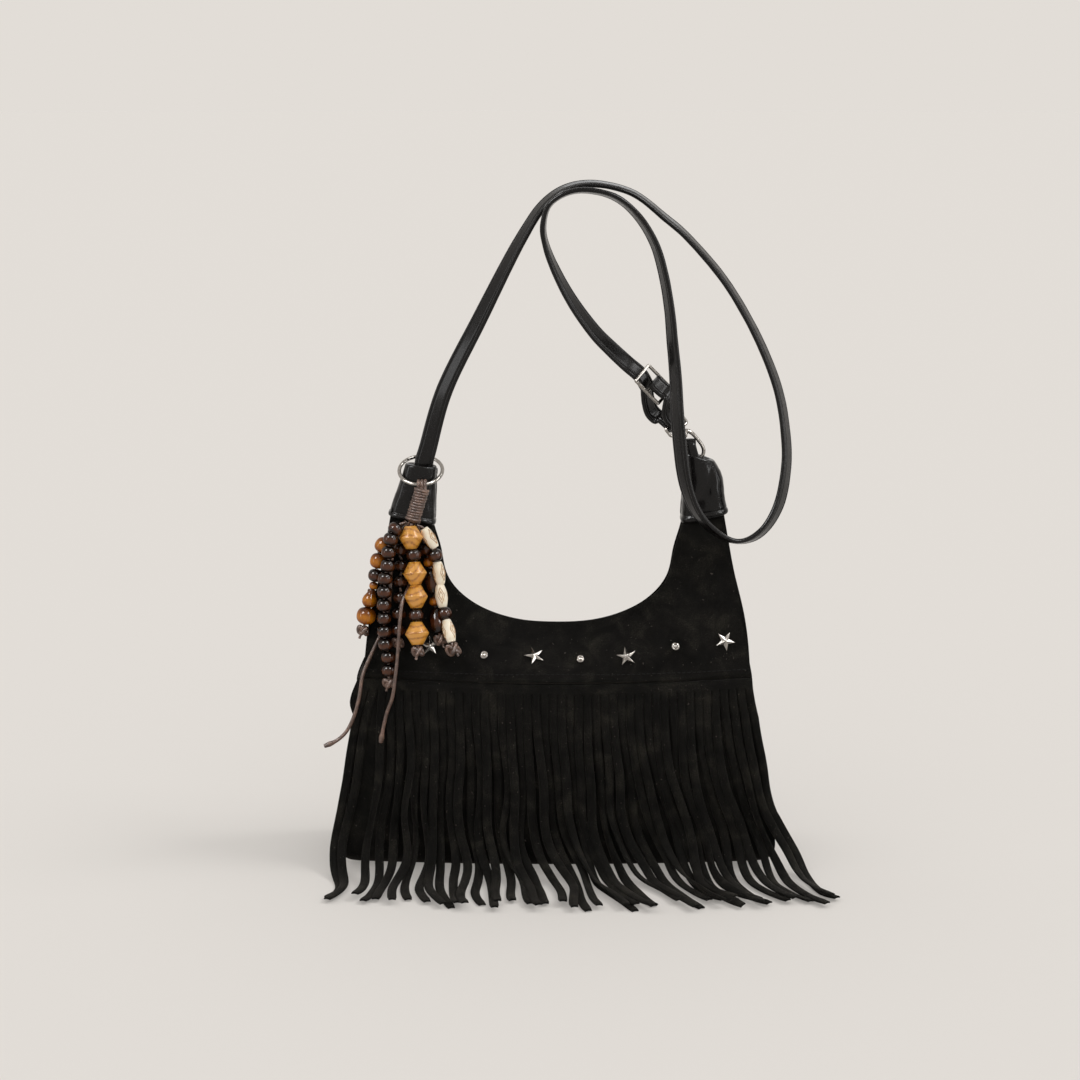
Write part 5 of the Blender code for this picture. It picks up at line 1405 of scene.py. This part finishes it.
# Golden olive wood: waxed, with growth rings about 3.3 mm apart that show darker.
golden_wood, tree, shader, place = start_material("waxed_olive_wood", Roughness=0.38,
                                                  Coat_Weight=0.7, Coat_Roughness=0.12)
pith = add_node(tree, "ShaderNodeMapping", {"Vector": place, "Location": (0.0880, 0.0, -0.1530),
                                            "Rotation": (0.15, 0.0, 0.1), "Scale": (1.0, 1.0, 0.8)})
rings_wave = add_node(tree, "ShaderNodeTexWave", {"Vector": pith.outputs["Vector"], "Scale": 96.0,
                                                  "Distortion": 3.2, "Detail": 2.0,
                                                  "Detail Scale": 0.9},
                      wave_type="RINGS", rings_direction="Y")
pore = add_node(tree, "ShaderNodeTexNoise", {"Vector": place, "Scale": 900.0, "Detail": 3.0})
figure = add_node(tree, "ShaderNodeMath", {0: rings_wave.outputs["Fac"], 1: pore.outputs["Fac"]},
                  operation="ADD")
finish_material(tree, shader, figure.outputs[0],
                ((0.30, "#8E4F12"), (0.62, "#C17E26"), (1.0, "#D9993C")),
                relief=(pore.outputs["Fac"], 0.15, 0.0002))

# Carved bone: cream, matt, with fine pores; the carved lines are a second, ochre stain.
bone, tree, shader, place = start_material("carved_bone", Roughness=0.5, Specular_IOR_Level=0.4)
cloud = add_node(tree, "ShaderNodeTexNoise", {"Vector": place, "Scale": 300.0, "Detail": 3.0})
finish_material(tree, shader, cloud.outputs["Fac"], ((0.3, "#F0DFC0"), (0.6, "#FDF3DF")),
                relief=(cloud.outputs["Fac"], 0.2, 0.0002))
bone_stain, tree, shader, place = start_material("ochre_stain_in_bone", Roughness=0.6)
cloud = add_node(tree, "ShaderNodeTexNoise", {"Vector": place, "Scale": 700.0, "Detail": 2.0})
finish_material(tree, shader, cloud.outputs["Fac"], ((0.3, "#8A5A1E"), (0.7, "#B98642")))


def bead_place(entry):
    """Where a bead's entry puts its middle, in front of the body's skin."""
    _, dx, dz, standoff = entry
    x = WRAP_BOTTOM.x + dx * MM
    z = WRAP_BOTTOM.z + dz * MM
    edge = side_x(z)
    inside = max(-edge, min(edge, x))
    return Vector((x, -skin_depth(inside, z) - standoff * MM, z))


def string_up(beads, slack=0.08):
    """Places of a strand's beads, drawn up its cord to within the slack of the bead above."""
    places = [bead_place(bead) for bead in beads]
    hung = places[:1]
    for i in range(1, len(beads)):
        reach = (BEAD_SIZE[beads[i - 1][0]][1] + BEAD_SIZE[beads[i][0]][1] + slack) * MM
        step = places[i] - places[i - 1]
        hung.append(hung[-1] + step.normalized() * min(reach, step.length))
    return hung


def strand_axis(start, places, i):
    """The direction up a strand at one of its beads."""
    above = places[i - 1] if i else start
    return (above - places[min(i + 1, len(places) - 1)]).normalized()


def bead_profile(kind, scale=1.0):
    """Radius and height down a bead, from bore to bore."""
    radius, half = (value * MM * scale for value in BEAD_SIZE[kind])
    if kind == GOLD:
        return [(BEAD_BORE, half * 0.97), (0.0031, half), (0.0036, half * 0.985),
                (radius * 0.70, half * 0.55), (radius * 0.975, half * 0.07), (radius, 0.0),
                (radius * 0.975, -half * 0.07), (radius * 0.70, -half * 0.55),
                (0.0036, -half * 0.985), (0.0031, -half), (BEAD_BORE, -half * 0.97)]
    if kind == BONES:
        shape = [(math.cos(math.pi / 2 * t * 0.56), t) for t in
                 (-0.985, -0.9, -0.75, -0.5, -0.25, 0, 0.25, 0.5, 0.75, 0.9, 0.985)]
        body = [(radius * r, half * t) for r, t in reversed(shape)]
        return [(BEAD_BORE, half)] + body + [(BEAD_BORE, -half)]
    if kind == "gourd":
        return [(BEAD_BORE, half), (0.0024, half * 0.97), (0.0027, half * 0.8), (0.0025, half * 0.6),
                (0.0031, half * 0.42), (0.0041, half * 0.15), (radius, -half * 0.2),
                (radius * 0.93, -half * 0.6), (radius * 0.65, -half * 0.88),
                (radius * 0.4, -half), (BEAD_BORE, -half)]
    power = 2.9 if kind == "long" else 2.35
    profile = [(BEAD_BORE, half * 0.9)]
    for k in range(1, 16):
        a = math.pi * (0.5 - k / 16)
        r = radius * abs(math.cos(a)) ** (2 / power)
        h = half * math.copysign(abs(math.sin(a)) ** (2 / power), math.sin(a))
        if r > BEAD_BORE * 1.15:
            profile.append((r, h))
    return profile + [(BEAD_BORE, -half * 0.9)]


def add_bead(bm, kind, place, scale=1.0):
    """Add a bead with its painted light marked: a painted glow most just below its waist, and painted shade
    towards its bores.
    """
    stain_and_painted_glow = bm.verts.layers.float.get("painted_glow_and_shade") or bm.verts.layers.float.new("painted_glow_and_shade")
    profile = bead_profile(kind, scale)
    first = len(bm.verts)
    add_turned(bm, profile, place, BEAD_STEPS, bored=True)
    bm.verts.ensure_lookup_table()
    half = BEAD_SIZE[kind][1] * MM
    for level, (_, height) in enumerate(profile):
        start = first + level * BEAD_STEPS
        for vertex in bm.verts[start:start + BEAD_STEPS]:
            # Painted glow: strongest just below the waist, falling off towards the bores, where it paints
            # shade.
            vertex[stain_and_painted_glow] = hump(height / half, -0.15, 0.62)


def add_knot(bm, top, down, size, cord):
    """An overhand knot pulled tight."""
    place = frame_at(top + down * size, -down, Vector((1.0, 0.3, 0.0)))
    points = []
    for k in range(72):
        a = 2 * math.pi * k / 72
        x = (math.sin(a) + 2 * math.sin(2 * a)) / 3
        y = (math.cos(a) - 2 * math.cos(2 * a)) / 3
        z = -math.sin(3 * a) / 1.6
        points.append(place @ (Vector((x, y * 0.8, z)) * size))
    add_loft(bm, tube_rings(points, cord * 1.25, 12, closed=True), closed=True)


def strand_cord_points(places, beads, foot):
    """Points of a strand's cord, from bore to bore."""
    points = [foot]
    for i, bead in enumerate(beads):
        axis = strand_axis(points[0], places, i)
        half = BEAD_SIZE[bead[0]][1] * MM
        points += [places[i] + axis * half * 0.9, places[i] - axis * half * 0.9]
    return points


BEAD_GROUPS = {
    "dark": ((DARK, "long"), dark_wood, "dark_wood"),
    "amber": (("small", "amber_round", "amber_small", "amber_large", "gourd"), amber_wood,
              "amber_wood"),
    "gold": ((GOLD,), golden_wood, "golden_wood"),
    "bone": ((BONES,), bone, "bone"),
}


def build_strand(letter, beads, foot, groups, cord_node, stub, slack=0.08, knot=0.0033):
    """One strand: its beads, in one piece for each wood or bone, its cord and its end knot."""
    start = wrap_foot(*foot)
    places = string_up(beads, slack)
    random.seed(ord(letter))
    frames = [frame_at(place, strand_axis(start, places, i), RIGHT)
              for i, place in enumerate(places)]
    for label, nodes in groups.items():
        kinds, material, slot = BEAD_GROUPS[label]
        bm = bmesh.new()
        for i, bead in enumerate(beads):
            if bead[0] in kinds:
                add_bead(bm, bead[0], frames[i], random.uniform(0.975, 1.02))
        settle(mesh_piece(f"beads_{letter}_{label}", bm, 50.0), material, "charm", slot, *nodes)
    bm = bmesh.new()
    points = strand_cord_points(places, beads, start)
    axis = strand_axis(start, places, len(beads) - 1)
    half = BEAD_SIZE[beads[-1][0]][1] * MM
    foot_point = places[-1] - axis * (half + 0.0006)
    points += [foot_point, foot_point - axis * 0.0025]
    add_loft(bm, tube_rings(smooth_path(points, 12 * len(points)), STRAND_CORD, 10))
    add_knot(bm, foot_point, -axis, knot, STRAND_CORD * 1.3)
    stub_path = [foot_point - axis * 0.003, foot_point - axis * 0.0055 + Vector((stub, 0.0, 0.0)) * MM,
                 foot_point - axis * 0.0085 + Vector((stub * 1.8, -0.3, 0.0)) * MM]
    add_loft(bm, tube_rings(smooth_path(stub_path, 14), STRAND_CORD, 10))
    settle(mesh_piece(f"strand_{letter}_string", bm, 60.0), waxed_cord, "charm", "cord", *cord_node)


build_strand("a", STRAND_A, (-3.5, -1.6), {"dark": ["strand_a"]}, [], -1.0)
build_strand("c", STRAND_C, (0.8, -3.6),
             {"gold": [f"bead_c{place}_gold" for place in (1, 3, 4, 6)],
              "dark": ["bead_c2_dark", "bead_c5_dark"]}, ["strand_c_cord"], -0.9)
build_strand("d", STRAND_D, STRAND_D_FOOT,
             {"bone": [f"bead_d{place}_bone" for place in (1, 3, 4, 6)],
              "dark": ["bead_d2_dark", "bead_d5_dark"]}, ["strand_d_cord"], 1.2, knot=0.0042)
build_strand("e", STRAND_E, (-3.9, 1.3), {"amber": ["strand_e"], "dark": []}, [], -0.8)
build_strand("f", STRAND_F, (-1.7, 3.6), {"dark": ["strand_f"]}, [], 0.6, slack=1.9)
build_strand("g", STRAND_G, (3.2, 2.5), {"dark": ["strand_g"], "amber": []}, [], 0.8, slack=1.2)


# Carving on the bone beads: two nested diamonds on each of three faces, 0.4 mm wide and filled
# with an ochre stain.
CARVED_LINE = 0.00018


def build_carving():
    """The lines on all bone beads. One bead shows a whole diamond, and the others are turned."""
    bm = bmesh.new()
    start = wrap_foot(*STRAND_D_FOOT)
    places = string_up(STRAND_D)
    for i, bead in enumerate(STRAND_D):
        if bead[0] != BONES:
            continue
        frame_here = frame_at(places[i], strand_axis(start, places, i), RIGHT)
        radius, half = (value * MM for value in BEAD_SIZE[BONES])
        for face in range(3):
            middle = -math.pi / 2 + 2 * math.pi * face / 3 + (0.0 if i == 3 else math.pi / 3 - 0.15)
            for reach in (1.0, 0.52):
                points = []
                for k in range(32):
                    t = k / 32 * 4
                    leg = t % 1.0
                    quarter = int(t)
                    a, h = ((leg, 1 - leg), (1 - leg, -leg), (-leg, leg - 1), (leg - 1, leg))[quarter]
                    height = h * half * 0.72 * reach
                    r = radius * math.cos(math.pi / 2 * height / half * 0.56)
                    angle = middle + a * 0.62 * reach
                    points.append(frame_here @ Vector((r * math.cos(angle), r * math.sin(angle), height)))
                add_loft(bm, tube_rings(points, CARVED_LINE, 6, closed=True), closed=True)
    settle(mesh_piece("bone_carving", bm, 60.0), bone_stain, "charm", "bone")


build_carving()


# Studs: five-pointed stars and small round heads of nickel-plated brass, riveted through the
# yoke in one row above the seam. Each star has its place across and up, and its turn in radians.
STAR_RADIUS = 0.0068
STAR_HEIGHT = 0.0026
DOME_RADIUS = 0.0029
DOME_HEIGHT = 0.0018
STARS = ((-0.0806, 0.1442, 0.03), (-0.0145, 0.1364, 0.28), (0.0440, 0.1370, 0.26),
         (0.1064, 0.1465, -0.5))
DOMES = ((-0.0466, 0.1378), (0.0147, 0.1345), (0.0748, 0.1438))


def stud_place(x, z):
    """A matrix on the yoke's skin, with Z pointing away from it."""
    step = 0.003
    right = yoke_surface(x + step, z) - yoke_surface(x - step, z)
    up = yoke_surface(x, z + step) - yoke_surface(x, z - step)
    normal = right.cross(up).normalized()
    if normal.y > 0:
        normal = -normal
    return frame_at(yoke_surface(x, z) + normal * 0.0005, normal, right)


def build_star(name, node, x, z, spin):
    """A star: low sides, and ten facets up to its middle."""
    bm = bmesh.new()
    place = stud_place(x, z) @ Matrix.Rotation(spin, 4, "Z")
    loops = []
    for height, scale in ((-0.0006, 1.0), (0.0004, 1.0), (0.0008, 0.93)):
        loop = []
        for k in range(10):
            a = math.pi / 2 + math.pi / 5 * k
            r = STAR_RADIUS * scale if k % 2 == 0 else STAR_RADIUS * 0.42 * (scale - 0.02)
            loop.append(bm.verts.new(place @ Vector((r * math.cos(a), r * math.sin(a), height))))
        loops.append(loop)
    for lower, upper in zip(loops, loops[1:]):
        for i in range(10):
            j = (i + 1) % 10
            bm.faces.new((lower[i], lower[j], upper[j], upper[i]))
    peak = bm.verts.new(place @ Vector((0.0, 0.0, STAR_HEIGHT)))
    for i in range(10):
        bm.faces.new((loops[-1][i], loops[-1][(i + 1) % 10], peak))
    bm.faces.new(loops[0])
    piece = mesh_piece(name, bm, 8.0)
    soften = piece.modifiers.new("worn_edges", "BEVEL")
    soften.width = 0.00012
    soften.segments = 2
    soften.limit_method = "ANGLE"
    soften.angle_limit = math.radians(12)
    settle(piece, nickel, "bag", "nickel", node)


def build_dome(name, node, x, z):
    """A round stud with a ring pressed into its head."""
    bm = bmesh.new()
    r = DOME_RADIUS
    profile = [(0.0001, DOME_HEIGHT * 0.82), (r * 0.22, DOME_HEIGHT * 0.80), (r * 0.34, DOME_HEIGHT * 0.62),
               (r * 0.46, DOME_HEIGHT * 0.86), (r * 0.60, DOME_HEIGHT), (r * 0.78, DOME_HEIGHT * 0.86),
               (r * 0.93, DOME_HEIGHT * 0.5), (r, DOME_HEIGHT * 0.2), (r, -0.0006), (0.0001, -0.0006)]
    add_turned(bm, profile, stud_place(x, z), 40)
    settle(mesh_piece(name, bm), nickel, "bag", "nickel", node)


for number, (x, z, spin) in enumerate(STARS, 1):
    build_star(f"star_stud_{number}", f"star_{number}", x, z, spin)
for number, (x, z) in enumerate(DOMES, 1):
    build_dome(f"dome_stud_{number}", f"dome_{number}", x, z)


# Magnetic snap: two nickel-plated discs set in the lining under the middle of the mouth.
for node in ("snap_socket", "snap_stud"):
    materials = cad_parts[node].data.materials
    materials.clear()
    materials.append(nickel)
